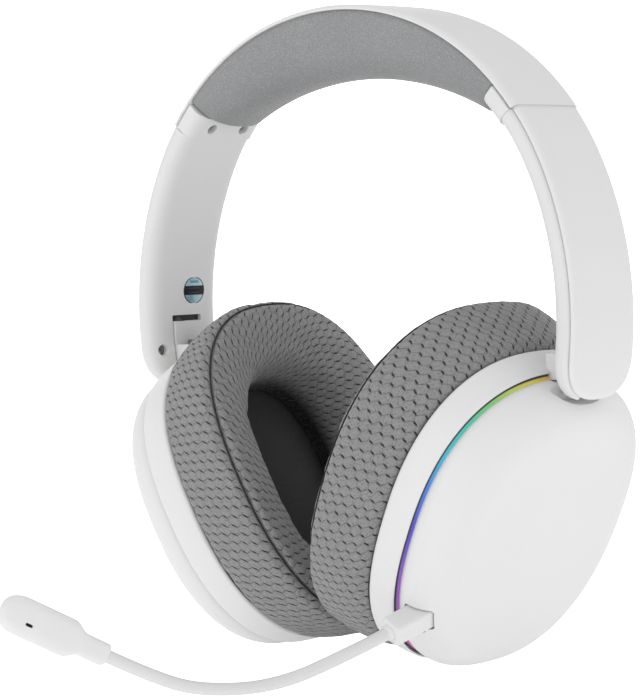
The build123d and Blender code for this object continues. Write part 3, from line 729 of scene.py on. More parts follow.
def outline(half_y, half_z, count=192, power=outline_power, flare=outline_flare):
    """Cup outline: a superellipse, a little wider at the top; arrays of y and z."""
    t = np.linspace(0, 2 * pi, count + 1)[:-1]
    y, z = superellipse(t, power)
    return half_y * y * (1 + flare * z), half_z * z


def ring_points(levels, count=192):
    """Rows of the cup outline: each level is (x, half y, half z)."""
    rows = []
    for x, half_y, half_z in levels:
        y, z = outline(half_y, half_z, count)
        rows.append(np.stack([np.full(count, x), y, z], 1))
    return np.stack(rows)


def shell_levels():
    """Closed ring section: soft front edge, tapering wall, soft groove edge, groove wall, inside."""
    a0, b0, a1, b1 = 44.1, 50.5, 43.85, 48.95
    x0, x1 = -9.75, 0.45
    outside = [(x0, a0 - 1.6, b0 - 1.6), (x0 + 0.05, a0 - 0.8, b0 - 0.8), (x0 + 0.35, a0 - 0.25, b0 - 0.25),
               (x0 + 0.9, a0, b0)]
    for f in np.linspace(0.12, 0.92, 8):
        bulge = 0.25 * sin(pi * f)
        outside.append((x0 + f * (x1 - x0), a0 + (a1 - a0) * f + bulge, b0 + (b1 - b0) * f + bulge))
    outside += [(x1 - 0.3, a1 - 0.05, b1 - 0.05), (x1 - 0.08, a1 - 0.2, b1 - 0.2),
                (x1, a1 - 0.45, b1 - 0.45), (x1 - 0.2, a1 - 0.62, b1 - 0.62),
                (x1 - 1.4, a1 - 0.75, b1 - 0.75), (x1 - 1.5, a1 - 3.5, b1 - 3.5),
                (x0 + 2.0, a0 - 2.6, b0 - 2.6), (x0 + 0.3, a0 - 2.5, b0 - 2.5)]
    return outside


def rim_point(z, half_y, half_z):
    """Point and outward direction of the rear edge of a cup outline at height z in the cup's frame."""
    y = outline_y(z, half_y, half_z)
    slope = (outline_y(z + 0.1, half_y, half_z) - outline_y(z - 0.1, half_y, half_z)) / 0.2
    out = np.array([0.0, 1.0, -slope])
    return np.array([0.0, y, z]), out / np.linalg.norm(out)


def outline_y(z, half_y, half_z):
    """Half width of the cup outline at height z."""
    plain = half_y * (1 - abs(z / half_z) ** outline_power) ** (1 / outline_power)
    return plain * (1 + outline_flare * z / half_z)


def in_frame(local, place, x_axis, y_axis, z_axis):
    """Points of a small frame (columns are its axes) placed in its parent frame."""
    return np.array(place) + local @ np.stack([x_axis, y_axis, z_axis])


def placed_block(name, low, high, corner, where):
    """Rounded block whose points are carried through a placing function, all in mm."""
    piece = block(name, low, high, corner)
    set_places(piece, where(places(piece)))
    work = bmesh.new()
    work.from_mesh(piece.data)
    bmesh.ops.recalc_face_normals(work, faces=work.faces)
    work.to_mesh(piece.data)
    work.free()
    return piece


control_x, power_z, mute_z, wheel_z, usb_z = -4.8, 15.0, 3.0, -12.0, -27.0


def at_control(z):
    """Placing function for a piece on the left cup's rear edge: x out of the ear, y outwards, z along."""
    place, out = rim_point(z, 43.95, 49.7)
    along = np.cross([1.0, 0.0, 0.0], out)

    def where(points):
        return cup_place(in_frame(points + [control_x, 0, 0], place, [1.0, 0, 0], out, along), "left")

    return where


plug_angle, plug_drop, plug_x, plug_end = 17.0, 12.3, 7.9, 52.8
plug_out = np.array([0.0, -cos(radians(plug_angle)), -sin(radians(plug_angle))])


def at_plug(points):
    """Placing for the microphone plug: x out of the ear, y along the plug outwards, z across it."""
    across = np.cross([1.0, 0, 0], plug_out)
    root = across * plug_drop + [plug_x, 0.0, 0.0]
    return cup_place(in_frame(points, root, [1.0, 0, 0], plug_out, across), "left")


def cup_skin(name, points, side, uv=None, **wrap):
    """Grid worked out in the cup's frame, placed on its side."""
    shape = points.shape
    return grid_mesh(name, cup_place(points.reshape(-1, 3), side).reshape(shape), uv=uv, **wrap)


def knuckle_cut(side, low=(75.8, -7.1, 37.6)):
    """Room for the swivel block and the arm's end, in the model's frame; low is its lowest corner."""
    return placed_block("room", low, (95.0, -low[1], 75.0), 1.0, lambda p: side_place(p, side))


def side_place(points, side):
    """Model-frame points of the left side at rest, moved to the given side."""
    if side == "right":
        points = turned(points, "Z", right_swivel, (swivel_x, 0.0, 0.0)) * [-1, 1, 1]
    return points


def arm_room(side):
    """Cutter for the arm's end: the arm's outline grown all round, from its inner face outwards."""
    grown = 1.5
    inside = 9.7
    profile = np.array([[half_width + grown, -6.0], [0.0, -6.0], [0.0, 2.0], [0.0, inside - 1.2],
                        [0.35, inside - 0.35], [1.2, inside], [half_width + grown, inside]])
    angle, y, spine = arm_outline()
    per_degree = radians(band_arcs[2][0])
    reach = np.hypot((angle - spine) * per_degree, y)
    scale = (reach + grown) / reach
    out_angle, out_y = spine + (angle - spine) * scale, y * scale
    keep = 1 - np.clip(profile[:, :1] / (reach + grown), 0, 1)
    points = on_band(spine + (out_angle - spine) * keep, out_y * keep,
                     np.repeat(profile[:, 1:], len(y), axis=1))
    points = side_place(points.reshape(-1, 3), side).reshape(points.shape)
    return grid_mesh("arm_room", points, wrap_cols=True)


for side in ("left", "right"):
    levels = shell_levels()
    points = ring_points(levels + [levels[0]])
    shell = cup_skin("cup_shell_ring_" + side, points, side, wrap_cols=True)
    cutters = []
    if side == "left":
        for z in (power_z, mute_z):
            cutters.append(placed_block("hole", (-2.4, -8, -4.9), (2.4, 4, 4.9), 0.8, at_control(z)))
        cutters.append(placed_block("hole", (-2.1, -8, -6.6), (2.1, 4, 6.6), 0.8, at_control(wheel_z)))
        cutters.append(placed_block("hole", (-1.9, -8, -4.8), (1.9, 4, 4.8), 1.6, at_control(usb_z)))
    cut(shell, cutters + [knuckle_cut(side)])
    fit(shell, white_plastic, "white_plastic", "cup_" + side, "cup_shell_" + side)

# ============================================================ light rings
# Between shell and cover runs a groove with a strip of coloured diodes behind a milky ring. The
# colours go round the cup and the ring glows softly, with a painted shadow along the shell's edge
# and a painted highlight, paler, along the cover's edge.
ring_half = (42.6, 47.7)


def colour_wheel(finish):
    """Colour that goes round the cup by the ring's own v coordinate (0 at the top, forwards)."""
    place = finish.node("ShaderNodeSeparateXYZ", {"Vector": finish.place("UV")}, out=1)
    stops = [(0.0, (0.42, 0.26, 0.03)), (0.03, (0.50, 0.42, 0.05)), (0.06, (0.33, 0.45, 0.06)),
             (0.09, (0.12, 0.42, 0.12)), (0.13, (0.04, 0.42, 0.33)), (0.17, (0.04, 0.36, 0.50)),
             (0.205, (0.05, 0.18, 0.55)), (0.245, (0.07, 0.06, 0.42)), (0.285, (0.20, 0.08, 0.40)),
             (0.32, (0.26, 0.08, 0.36)), (0.45, (0.45, 0.06, 0.20)), (0.60, (0.10, 0.08, 0.50)),
             (0.75, (0.04, 0.36, 0.50)), (0.88, (0.12, 0.42, 0.12)), (1.0, (0.42, 0.26, 0.03))]
    return finish.node("ShaderNodeValToRGB", {"Fac": place}, stops=stops)


def light_finish(name, lift):
    """Glowing ring: a painted shadow, dark where it meets the shell, then the colour, and a painted
    highlight, paler along the cover's edge.
    """
    finish = Finish(name, Roughness=0.35, Emission_Strength=lift)
    colour = colour_wheel(finish)
    across = finish.node("ShaderNodeSeparateXYZ", {"Vector": finish.place("UV")}, out=0)
    # painted highlight: the colour turns pale pink along the cover's edge
    pale = finish.mix(across.step(0.65, 1.0) * 0.55, colour, (1.0, 0.86, 0.90))
    # painted shadow: the ring's glow and colour go black where it meets the shell
    dark = across.step(0.22, 0.48)
    lit = finish.mix(dark, (0.0, 0.0, 0.0), pale)
    finish.feed(Emission_Color=lit, Base_Color=finish.mix(dark, (0.03, 0.03, 0.035), colour))
    return finish


milky_light = light_finish("milky_light_ring", 0.5)
diode_light = light_finish("diode_strip", 0.7)

for side in ("left", "right"):
    for node, finish, levels in (
            ("light_ring_", milky_light,
             [(-0.15, 42.95, 48.05), (0.08, 42.7, 47.8), (0.32, 42.35, 47.45), (0.58, 41.8, 46.9),
              (0.85, 41.2, 46.3), (0.85, 40.2, 45.3), (-0.9, 40.2, 45.3), (-0.9, 42.95, 48.05)]),
            ("led_strip_", diode_light,
             [(0.2, 39.7, 44.8), (2.1, 39.7, 44.8), (2.1, 39.2, 44.3), (0.2, 39.2, 44.3)])):
        points = ring_points(levels + [levels[0]])
        around = np.mod(np.arange(193) / 192 - 0.25, 1.0)
        across = np.clip(np.array([x for x, _, _ in levels + [levels[0]]]) / 0.85, 0, 1)
        uv = np.stack([np.repeat(across[:, None], 193, 1), np.repeat(around[None], len(across), 0)], axis=2)
        ring = cup_skin(node + "glow_" + side, points, side, uv=uv, wrap_cols=True)
        room_low = (71.0, -9.5, 29.0) if node == "led_strip_" else (75.8, -7.1, 37.6)
        cut(ring, [arm_room(side), knuckle_cut(side, room_low)])
        fit(ring, finish, "rgb_light", "cup_" + side, node + side)

# ============================================================ outer covers
# The white outer cap of each cup: a steep forward slope that rolls into a softly crowned face,
# with a hollow for the arm's end and, on the left, a pocket in the rim for the microphone plug.
cover_rise = [(1.25, 0.6), (0.7, 1.3), (0.32, 2.8), (0.32, 4.9), (0.95, 7.5), (2.6, 10.3), (4.9, 12.45),
              (7.6, 13.9), (10.9, 14.75)]


def smooth_line(knots, count):
    """Points along a Catmull-Rom curve through a few knots."""
    knots = np.array(knots, float)
    padded = np.concatenate([[2 * knots[0] - knots[1]], knots, [2 * knots[-1] - knots[-2]]])
    points = []
    for a, b, c, d in zip(padded[:-3], padded[1:-2], padded[2:-1], padded[3:]):
        t = np.linspace(0, 1, count)[:-1, None]
        points.append(0.5 * (2 * b + (c - a) * t + (2 * a - 5 * b + 4 * c - d) * t ** 2
                             + (3 * b - a - 3 * c + d) * t ** 3))
    return np.concatenate(points + [knots[-1:]])


def cover_points():
    """Cover skin as rows of the outline: rim inside, rim, slope, crowned face to its middle, back."""
    rows = []
    slope = smooth_line(cover_rise, 6)
    for inset, height in slope:
        y, z = outline(ring_half[0] - inset, ring_half[1] - inset)
        rows.append(np.stack([np.full(len(y), height), y, z], 1))
    last_inset, last_height = slope[-1]
    half_y, half_z = ring_half[0] - last_inset, ring_half[1] - last_inset
    for f in np.linspace(0.94, 0.0, 14):
        y, z = outline(half_y * f, half_z * f, power=2.0 + (outline_power - 2) * f)
        crown_height = last_height + 0.55 * (1 - f ** 2)
        rows.append(np.stack([np.full(len(y), crown_height), y, z], 1))
    inside = [(2.6, 0.6), (3.0, 5.0), (6.5, 10.5), (11.0, 12.3)]
    under = []
    for inset, height in inside:
        y, z = outline(ring_half[0] - inset, ring_half[1] - inset)
        under.insert(0, np.stack([np.full(len(y), height), y, z], 1))
    centre = np.stack([np.full(192, 12.6), np.zeros(192), np.zeros(192)], 1)
    return np.stack([centre] + under + rows)


for side in ("left", "right"):
    cover = cup_skin("outer_cover_dome_" + side, cover_points(), side, wrap_cols=True)
    cutters = [knuckle_cut(side), arm_room(side)]
    if side == "left":
        cutters.append(placed_block("pocket", (-4.1, 33.0, -3.8), (4.1, 70.0, 3.8), 1.0, at_plug))
        cutters.append(placed_block("notch", (-2.6, 38.0, 1.5), (2.2, 70.0, 5.4), 0.8, at_plug))
    cut(cover, cutters)
    fit(cover, white_plastic, "white_plastic", "cup_" + side, "outer_cover_" + side)


# ============================================================ ear cushions
# Foam rings in a grey honeycomb knit: a side panel and a face panel meet at a dark stitched seam,
# and the face rolls into the ear opening, whose depth is painted near black as shade; the fabric
# along the seam is painted a little darker as shade too. The panels are inflated by a cloth
# simulation between the seam and the rims, then nudged clear of the other cushion.
cell_across, cell_along = 3.52, 3.49
cushion_side = [(-10.3, 43.0, 49.4), (-10.5, 44.3, 50.6), (-11.6, 45.1, 51.4), (-15.0, 46.0, 52.6),
                (-20.0, 46.8, 53.8), (-25.0, 47.4, 54.7), (-29.5, 47.6, 55.1), (-31.4, 47.2, 54.8),
                (-32.5, 46.6, 54.2)]
cushion_seam = [(-33.1, 45.85, 53.45)]
cushion_face = [(-33.6, 45.6, 53.15), (-34.4, 44.8, 52.3), (-35.2, 42.9, 50.5), (-35.8, 39.4, 47.2),
                (-35.3, 35.6, 43.8), (-33.6, 32.0, 40.7), (-30.8, 28.6, 37.7), (-26.8, 25.7, 34.9),
                (-22.0, 23.7, 33.0), (-17.0, 22.8, 32.2), (-12.6, 22.8, 32.2)]


def along_profile(rows):
    """Distance along a profile of (x, half y, half z) rows, measured at the front of the cup."""
    rows = np.array(rows)
    return np.concatenate([[0], np.cumsum(np.hypot(np.diff(rows[:, 0]), np.diff(rows[:, 1])))])


def share_round(ring):
    """Share of the way round a closed ring at each of its points, from 0 to 1, both ends included."""
    steps = np.linalg.norm(np.roll(ring, -1, axis=0) - ring, axis=1)
    return np.concatenate([[0.0], np.cumsum(steps)]) / steps.sum()


def honeycomb_fabric():
    """Raised hexagonal cells: dark slanting stitches on one flank of each cell, fine diagonal yarn inside
    whose crests carry a painted highlight.

    The UV map counts cells: one unit across is a cell, and two rows of cells stand sqrt(3) units high.
    Each point is measured from the nearer of two interleaved rectangular lattices of cell centres.
    """
    knit = Finish("grey_honeycomb_knit", Roughness=0.92, Specular_IOR_Level=0.12, Sheen_Weight=0.18,
                  Sheen_Roughness=0.6)
    uv = knit.node("ShaderNodeSeparateXYZ", {"Vector": knit.place("UV")})
    u, v = (Link(knit, uv.socket.node.outputs[i]) for i in (0, 1))
    height = sqrt(3.0)
    wobble = knit.noise(1.3, 2.0, knit.place("UV")) - 0.5
    u, v = u + wobble * 0.10, v + wobble * 0.08

    def offset(shift_u, shift_v):
        return (u + shift_u).fraction() - 0.5, ((v / height + shift_v).fraction() - 0.5) * height

    ax, ay = offset(0.0, 0.0)
    bx, by = offset(0.5, 0.5)
    far_a = ax * ax + ay * ay
    far_b = bx * bx + by * by
    pick = far_a.math("LESS_THAN", far_b)
    x = ax * pick + bx * (1 - pick)
    y = ay * pick + by * (1 - pick)
    flank = x.size() * 0.5 + y.size() * (height / 2)
    downhill = (x * y).step(0.012, -0.012)
    slant_edge = (0.5 - flank).step(0.12, 0.03) * downhill
    light_edge = (0.5 - flank).step(0.07, 0.0) * (1 - downhill)
    upright_edge = (0.5 - x.size()).step(0.06, 0.0)
    middle = (x.size() - 0.27).size().step(0.24, 0.12)
    stitch = slant_edge * (middle * 0.8 + 0.2) + light_edge * 0.42
    along_yarn = ((u * 6.0 + v * 3.5) * (2 * pi)).sine()
    across_yarn = ((u * 3.0 - v * 5.5) * (2 * pi)).sine()
    yarn = along_yarn * across_yarn * 0.5 + 0.5
    pinholes = knit.noise(6.0, 2.0, knit.place("UV")).step(0.52, 0.66)
    shade = knit.noise(2.2, 3.0, knit.place("UV")).step(0.25, 0.75)
    # painted highlight: the yarn term also makes the colour lighter along the yarn crests
    light = 0.66 + shade * 0.10 + yarn * 0.30 - stitch * 0.85 - upright_edge * 0.12 - pinholes * 0.30
    # painted shade, read from the cushion's points: near black deep in the ear opening, a little darker
    # along the seam
    painted_shade = knit.node("ShaderNodeAttribute", out=2, attribute_name="painted_shade")
    fabric = knit.mix(light.clamped(), (0.018, 0.018, 0.019), (0.330, 0.330, 0.333))
    knit.feed(Base_Color=knit.mix(painted_shade, fabric, (0.010, 0.010, 0.011)))
    puff = (0.5 - flank).step(0.0, 0.22) * (0.5 - x.size()).step(0.0, 0.20)
    knit.bump(puff * 0.55 + yarn * 0.10 - stitch * 0.5 - pinholes * 0.12, 0.00042, 0.9)
    return knit


def plump(piece, hold, pressure, cap, frames=16, looseness=-0.02):
    """Inflates a closed piece with the cloth solver; hold is each vertex's pinning from 0 to 1.

    The fabric is cut a little larger than the form, so it crowns and puckers between its seams.
    No point moves by more than cap millimetres.
    """
    group = piece.vertex_groups.new(name="held")
    for index, weight in enumerate(hold):
        if weight > 0:
            group.add([index], float(weight), "REPLACE")
    cloth = piece.modifiers.new("inflate", "CLOTH")
    settings = cloth.settings
    settings.vertex_group_mass = "held"
    settings.quality = 4
    settings.mass = 0.2
    settings.use_pressure = True
    settings.uniform_pressure_force = pressure
    settings.tension_stiffness = settings.compression_stiffness = 12.0
    settings.shear_stiffness, settings.bending_stiffness = 6.0, 0.5
    settings.shrink_min = looseness
    settings.effector_weights.gravity = 0.0
    cloth.collision_settings.use_collision = False
    cloth.collision_settings.use_self_collision = False
    cloth.point_cache.frame_start, cloth.point_cache.frame_end = 1, frames
    count = len(piece.data.vertices) * 3
    before, after = np.empty(count), np.empty(count)
    piece.data.vertices.foreach_get("co", before)
    for step in range(1, frames + 1):
        bpy.context.scene.frame_set(step)
    blown = piece.evaluated_get(bpy.context.evaluated_depsgraph_get()).to_mesh()
    blown.vertices.foreach_get("co", after)
    move = (after - before).reshape(-1, 3)
    length = np.linalg.norm(move, axis=1, keepdims=True)
    reach = cap * MM * np.tanh(length / (cap * MM))
    move = move * reach / np.maximum(length, 1e-9)
    piece.modifiers.clear()
    piece.vertex_groups.clear()
    piece.data.vertices.foreach_set("co", (before.reshape(-1, 3) + move).ravel())
    piece.data.update()
    bpy.context.scene.frame_set(1)
    print(piece.name, "inflated, furthest move", round(float(length.max()) / MM, 2), "mm")


def smoothed(piece, levels=1):
    """Finishing subdivision."""
    tool = piece.modifiers.new("smooth", "SUBSURF")
    tool.levels = tool.render_levels = levels


def keep_clear(piece, side, gap=0.8, soft=2.2):
    """Presses the cushion flat where it would pass the middle plane: the other cushion is there."""
    points = places(piece)
    sign = -1.0 if side == "right" else 1.0
    x = points[:, 0] * sign
    points[:, 0] = sign * (gap + soft * np.log1p(np.exp((x - gap) / soft)))
    set_places(piece, points)


knit = honeycomb_fabric()
thread = Finish("seam_thread", Roughness=0.8, Base_Color=(0.02, 0.02, 0.022, 1.0))
count_round = 240
row_lean = 0.375
side_rows = smooth_line(cushion_side, 4)
face_rows = smooth_line(cushion_face, 4)
cushion_rows = np.concatenate([side_rows, cushion_seam, face_rows])
for side in ("left", "right"):
    seam_row = len(side_rows)
    points = ring_points([tuple(row) for row in cushion_rows], count_round)
    closing = ring_points([(-11.4, 25.0, 34.4), (-10.4, 33.0, 41.5)], count_round)
    points = np.concatenate([points, closing])
    across_side = along_profile(side_rows)
    across_face = along_profile(face_rows) + across_side[-1] + 1.5
    across = np.concatenate([across_side, [across_side[-1] + 0.75], across_face,
                             across_face[-1] + [7.0, 14.0, 21.0]])
    around = share_round(points[seam_row])
    turns = np.where(np.arange(len(across)) < len(side_rows) + 1, 54, 47) * sqrt(3.0)
    mirror = -1.0 if side == "right" else 1.0
    uv = np.stack([np.repeat(-mirror * across[:, None] / cell_across, count_round + 1, 1),
                   turns[:, None] * around[None] - row_lean * across[:, None] / cell_along], axis=2)
    cushion = cup_skin("ear_cushion_knit_" + side, points, side, uv=uv, wrap_rows=True, wrap_cols=True)
    rows = len(points)
    row_of = np.repeat(np.arange(rows), count_round)
    from_seam = np.abs(row_of - seam_row)
    hold = np.clip(1.0 - from_seam / 2.5, 0, 1)
    hold = np.maximum(hold, np.clip(1.0 - row_of / 3.0, 0, 1))
    hold = np.maximum(hold, np.clip((row_of - (rows - 9)) / 5.0, 0, 1))
    # painted shade: near black deep in the ear opening, a little darker along the seam's valley
    dark = np.clip((points[..., 0].ravel() + 23.0) / 6.0, 0, 1) * (row_of > seam_row + 12)
    dark = np.maximum(dark, np.where(from_seam == 0, 0.3, 0.0))
    layer = cushion.data.attributes.new("painted_shade", "FLOAT", "POINT")
    layer.data.foreach_set("value", dark.astype(np.float32))
    plump(cushion, hold, pressure=4.0, cap=1.0)
    keep_clear(cushion, side)
    smoothed(cushion)
    put_on(cushion, knit)
    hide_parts("ear_cushion_" + side)
    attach(cushion, "cup_" + side)

    # the seam's dark thread: a fine cord sunk in the valley between the panels
    y, z = outline(46.05, 53.65, 320)
    centre = np.stack([np.full(320, -33.25), y, z], 1)
    outward = np.stack([np.zeros(320), y / 46.05 ** 2, z / 53.65 ** 2], 1)
    outward /= np.linalg.norm(outward, axis=1, keepdims=True)
    turn = np.linspace(0, 2 * pi, 9)[:-1, None, None]
    twist = 1 + 0.12 * np.sin(np.arange(320) * 2 * pi * 80 / 320)[None, :, None]
    cord = centre + 0.24 * twist * (np.cos(turn) * outward + np.sin(turn) * np.array([1.0, 0, 0]))
    seam = cup_skin("seam_thread_" + side, cord, side, wrap_rows=True, wrap_cols=True)
    keep_clear(seam, side)
    fit(seam, thread, "grey_knit", "cup_" + side)

# ============================================================ speaker cloths
# Behind each ear opening a thin black cloth is stretched over the baffle; the driver's guard
# pushes it out into a low dome.
scrim_cloth = Finish("scrim_cloth", Roughness=0.95, Specular_IOR_Level=0.1, Sheen_Weight=0.25)
weave = scrim_cloth.noise(1500.0, 1.0)
scrim_cloth.feed(Base_Color=scrim_cloth.mix(weave, (0.022, 0.022, 0.023), (0.048, 0.048, 0.050)))
scrim_cloth.bump(weave, 0.00006)
for side in ("left", "right"):
    rows = []
    for f in np.linspace(0.0, 1.0, 18):
        y, z = outline(29.5 * f, 38.5 * f, 96, power=2.0 + (outline_power - 2) * f)
        dome = 2.4 * np.clip(1 - (f / 0.72) ** 2, 0, 1) ** 1.5
        rows.append(np.stack([np.full(96, -11.95 - dome), y, z], 1))
    y, z = outline(29.5, 38.5, 96)
    rows.append(np.stack([np.full(96, -11.45), y, z], 1))
    rows.append(np.stack([np.full(96, -11.45), 0 * y, 0 * z], 1))
    scrim = cup_skin("speaker_cloth_" + side, np.stack(rows), side, wrap_cols=True)
    put_on(scrim, scrim_cloth)
    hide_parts("scrim_" + side)
    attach(scrim, "cup_" + side)

# ============================================================ microphone
# A white block plugs into the rim of the left cup; a rubber-coated gooseneck runs forward from it
# to a flat capsule housing with one sound slot. The block ends in a separate collar.
mic_root = at_plug(np.array([[0.0, plug_end, 0.0], [0.0, plug_end + 13.0, 0.0]]))
boom_route = [*map(tuple, mic_root), (36.5, -80.0, -44.6), (31.5, -104.5, -43.2), (28.2, -120.0, -37.6),
              (24.9, -134.4, -29.9)]
boom_radius = 1.85
mic_length, mic_half_width, mic_half_thick, mic_neck_half = 34.0, 5.3, 3.8, 3.2

plug = placed_block("mic_plug_block", (-3.6, 36.0, -3.3), (3.6, plug_end, 3.3), 0.9, at_plug)
fit(plug, white_plastic, "white_plastic", "microphone", "mic_plug")
relief_profile = [(0.0, -0.4), (2.35, -0.4), (2.45, 0.0), (2.4, 0.5), (2.1, 0.95), (1.95, 1.2),
                  (1.9, 1.6), (0.0, 1.6)]
relief = lathe("mic_boom_collar", relief_profile, mic_root[0], mic_root[1] - mic_root[0], 32)
fit(relief, white_plastic, "white_plastic", "microphone")

boom_curve = bpy.data.curves.new("mic_gooseneck", "CURVE")
boom_curve.dimensions = "3D"
spline = boom_curve.splines.new("NURBS")
spline.points.add(len(boom_route) - 1)
for point, place in zip(spline.points, boom_route):
    point.co = (*(c * MM for c in place), 1.0)
spline.order_u = 3
spline.use_endpoint_u = True
spline.resolution_u = 20
boom_curve.bevel_depth = boom_radius * MM
boom_curve.bevel_resolution = 6
boom_curve.use_fill_caps = True
boom = bpy.data.objects.new("mic_gooseneck", boom_curve)
bpy.context.scene.collection.objects.link(boom)
rubber = satin_white("gooseneck_rubber", (0.74, 0.74, 0.745), 0.5, 0.000015)
boom.data.materials.append(rubber.material)
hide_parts("mic_boom")
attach(boom, "microphone")

mic_start = np.array(boom_route[-1])
mic_axis = mic_start - np.array(boom_route[-2])
mic_axis /= np.linalg.norm(mic_axis)
mic_up = np.array([0, 0, 1.0]) - mic_axis * mic_axis[2]
mic_up /= np.linalg.norm(mic_up)
mic_face = np.cross(mic_axis, mic_up)
mic_face *= np.sign(mic_face[0])


def mic_place(points):
    """From the housing's frame (x along it, y up its width, z out of its face) to the model's."""
    return in_frame(points, mic_start, mic_axis, mic_up, mic_face)


def mic_halves(a):
    """Half width and half thickness at a distance from the gooseneck's end."""
    blend = np.clip((a - 7.6) / 5.2, 0, 1)
    blend = blend * blend * (3 - 2 * blend)
    width = mic_neck_half + (mic_half_width - mic_neck_half) * blend
    thick = 3.1 + (mic_half_thick - 3.1) * blend
    end = np.clip((a - (mic_length - 6.2)) / 6.2, 0, 1)
    rounding = np.maximum(1 - end ** 2.3, 0) ** (1 / 2.3)
    start = np.clip(a / 0.5, 0, 1)
    lead = 0.86 + 0.14 * np.sqrt(np.maximum(1 - (1 - start) ** 2, 0))
    return width * rounding * lead, thick * (0.12 + 0.88 * rounding) * (rounding > 0) * lead


def mic_points():
    """Housing as rounded-rectangle sections: superellipses of power 3.2, closed at both ends."""
    a = np.concatenate([[0, 0, 0, 0.12, 0.3, 0.5], np.linspace(1.5, 7.0, 5), np.linspace(7.6, 13.0, 14),
                        np.linspace(14.0, mic_length - 7, 8),
                        mic_length - 6.2 * (1 - np.sin(np.linspace(0, pi / 2, 18)))])
    half_w, half_t = mic_halves(a)
    half_w[:2] = [0.0, half_w[0] * 0.6]
    half_t[:2] = [0.0, half_t[0] * 0.6]
    t = np.linspace(0, 2 * pi, 73)[:-1]
    y, z = superellipse(t, 3.2)
    return np.stack([np.repeat(a[:, None], 72, 1), half_w[:, None] * y, half_t[:, None] * z], axis=2)


points = mic_points()
placed = mic_place(points.reshape(-1, 3)).reshape(points.shape)
housing = grid_mesh("mic_housing_skin", placed, wrap_cols=True)
port = placed_block("port", (25.1, -2.1, 2.4), (27.5, -1.25, 7.0), 0.4, mic_place)
cut(housing, [port])
fit(housing, white_plastic, "white_plastic", "microphone", "mic_housing_front")
mesh_black = Finish("port_mesh", Roughness=0.9, Base_Color=(0.01, 0.01, 0.01, 1.0))
port_floor = placed_block("mic_port_mesh", (24.8, -2.5, 2.2), (27.8, -0.8, 3.1), 0.1, mic_place)
fit(port_floor, mesh_black, "dark_scrim", "microphone", "mic_housing_back")

# ============================================================ sliders and inside of the arms
# A moulded shoe, flush in the inner cover's slot, carries each cup up and down. A grey cable in a
# soft sleeve dips into it across a slanting groove, and behind the shoe a thin black sheet is a
# painted shadow that fills the slot.
soft_black = Finish("soft_black", Roughness=0.55, Base_Color=(0.018, 0.018, 0.019, 1.0))
sleeve_grey = Finish("cable_sleeve", Roughness=0.6, Base_Color=(0.075, 0.075, 0.078, 1.0))


def rod(name, start, end, radius, ends=1.0):
    """Straight rod with rounded ends."""
    start, end = np.array(start, float), np.array(end, float)
    length = np.linalg.norm(end - start)
    t = np.linspace(0, pi / 2, 7)
    cap_r, cap_h = radius * np.sin(t), radius * ends * (1 - np.cos(t))
    profile = np.concatenate([np.stack([cap_r, cap_h], 1), np.stack([cap_r, length - cap_h], 1)[::-1]])
    return lathe(name, profile, start, end - start, 24)


for side, sign in (("left", 1), ("right", -1)):
    def put(x0, x1, y0, y1, z0, z1, corner, name):
        low, high = sorted((sign * x0, sign * x1))
        return block(name, (low, y0, z0), (high, y1, z1), corner)

    shoe = put(82.0, 84.3, -5.95, 5.95, 34.5, 53.6, 0.35, "slider_shoe_" + side)
    place = places(shoe)
    cx, cz, radius, _ = arm_centre
    bow = cx + np.sqrt((radius - arm_depth) ** 2 - (place[:, 2] - cz) ** 2) - 82.0 + 0.1
    place[:, 0] += sign * bow * np.clip((84.3 - sign * place[:, 0]) / 2.0, 0, 1)
    set_places(shoe, place)
    groove = rod("groove", (sign * 84.6, -5.5, 55.6), (sign * 83.9, 2.2, 49.1), 1.9)
    cut(shoe, [groove])
    put_on(shoe, white_inner)
    sleeve = rod("cable_sleeve_" + side, (sign * 84.9, -4.4, 54.4), (sign * 84.3, 1.8, 49.4), 1.55)
    put_on(sleeve, sleeve_grey)
    # painted shadow: a thin black sheet behind the slot stands in for the shade there
    dark = put(84.32, 84.44, -5.9, 5.9, 40.0, 80.0, 0.02, "slot_shadow_" + side)
    put_on(dark, soft_black)
    for piece, slot_name in ((shoe, "white_inner_plastic"), (sleeve, "cable_black"), (dark, "dark_plastic")):
        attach(piece, "slider_" + side)

# ============================================================ inspection label
# A small round foil label inside the right arm: dark border, bluish foil and a black band. The
# band carries only blank bars.
label_y, label_z, label_radius = 3.4, 63.4, 4.6
label_x = inner_face_x(label_z, arm_depth)
foil = Finish("foil_label", Metallic=0.55)
spot = foil.node("ShaderNodeSeparateXYZ", {"Vector": foil.place()})
yy, zz = (Link(foil, spot.socket.node.outputs[i]) for i in (1, 2))
dy, dz = (yy - label_y * MM) / (label_radius * MM), (zz - label_z * MM) / (label_radius * MM)
rim = (dy * dy + dz * dz).step(0.80, 0.86)
band = dz.size().step(0.36, 0.30)
bars = (dy.size().step(0.55, 0.5)) * ((dz.size() - 0.16).size().step(0.06, 0.03))
caption = (dy.size().step(0.42, 0.38)) * ((dz - 0.62).size().step(0.10, 0.07))
ground = foil.mix(foil.noise(180.0, 2.0).step(0.3, 0.7), (0.25, 0.42, 0.47), (0.45, 0.62, 0.66))
ground = foil.mix(band, ground, (0.012, 0.012, 0.014))
ground = foil.mix(bars * 0.5, ground, (0.06, 0.08, 0.12))
ground = foil.mix(caption * 0.6, ground, (0.05, 0.07, 0.09))
foil.feed(Base_Color=foil.mix(rim, ground, (0.02, 0.022, 0.025)), Roughness=band * 0.2 + 0.35)
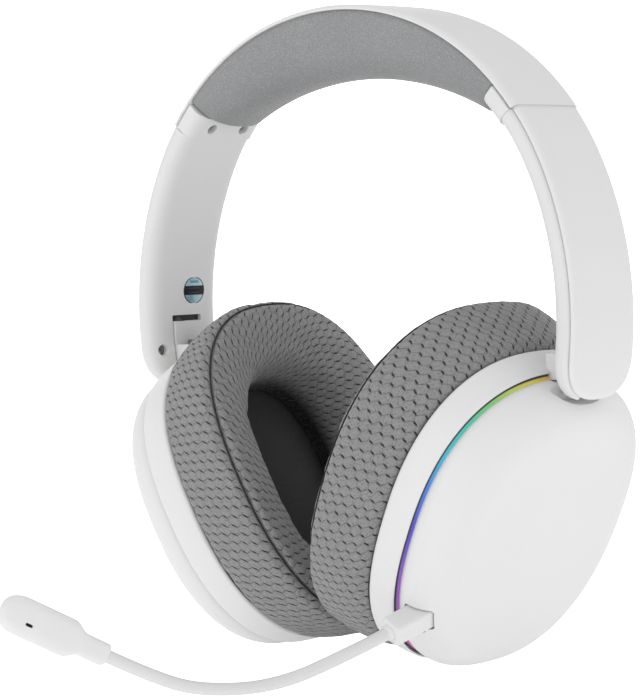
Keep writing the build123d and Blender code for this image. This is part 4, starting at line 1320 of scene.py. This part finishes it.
label_profile = [(0, 0.0), (label_radius - 0.1, 0.0), (label_radius, -0.06), (label_radius, -0.3), (0, -0.3)]
label_tilt = (0.9977, 0, -0.0675)
label = lathe("inspection_label", label_profile, (-label_x + 0.10, label_y, label_z), label_tilt, 48)
fit(label, foil, "foil_sticker", "headband", "inspection_sticker")

# ============================================================ remaining fittings
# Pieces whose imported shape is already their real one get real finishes: steel, nickel, circuit
# board, dark and white mouldings.
steel = Finish("brushed_steel", Metallic=1.0)
grain = steel.noise(420.0, 5.0)
steel.feed(Base_Color=steel.mix(grain, (0.30, 0.30, 0.31), (0.48, 0.48, 0.49)), Roughness=grain * 0.2 + 0.28)
gold = Finish("gold_plate", Metallic=1.0, Base_Color=(0.72, 0.48, 0.16, 1.0), Roughness=0.25)
board = Finish("board_green", Base_Color=(0.02, 0.11, 0.05, 1.0), Roughness=0.4, Coat_Weight=0.5)
wrap = Finish("battery_wrap", Base_Color=(0.03, 0.05, 0.12, 1.0), Roughness=0.35)
finishes = {
    "spring_band": steel, "slider_stem_left": white_inner, "slider_stem_right": white_inner,
    "swivel_screw_left": screw_metal, "swivel_screw_right": screw_metal,
    "cup_screws_left": screw_metal, "cup_screws_right": screw_metal,
    "hinge_pin_left": steel, "hinge_pin_right": steel, "hinge_bracket_left": steel,
    "hinge_bracket_right": steel, "driver_magnet_left": steel, "driver_magnet_right": steel,
    "mic_jack": gold, "circuit_board": board, "battery": wrap, "headband_cable": soft_black,
    "volume_encoder": soft_black, "usb_socket": steel, "mic_socket": soft_black, "mic_capsule": soft_black,
    "driver_frame_left": soft_black, "driver_frame_right": soft_black, "cushion_plate_left": soft_black,
    "cushion_plate_right": soft_black, "pad_base": white_inner, "baffle_left": soft_black,
    "baffle_right": soft_black, "swivel_block_left": white_inner, "swivel_block_right": white_inner,
    "power_button": white_plastic, "mute_button": white_plastic, "volume_wheel": white_inner,
}
for node, finish in finishes.items():
    for piece in bpy.data.objects:
        if piece.name == node and piece.type == "MESH":
            put_on(piece, finish)
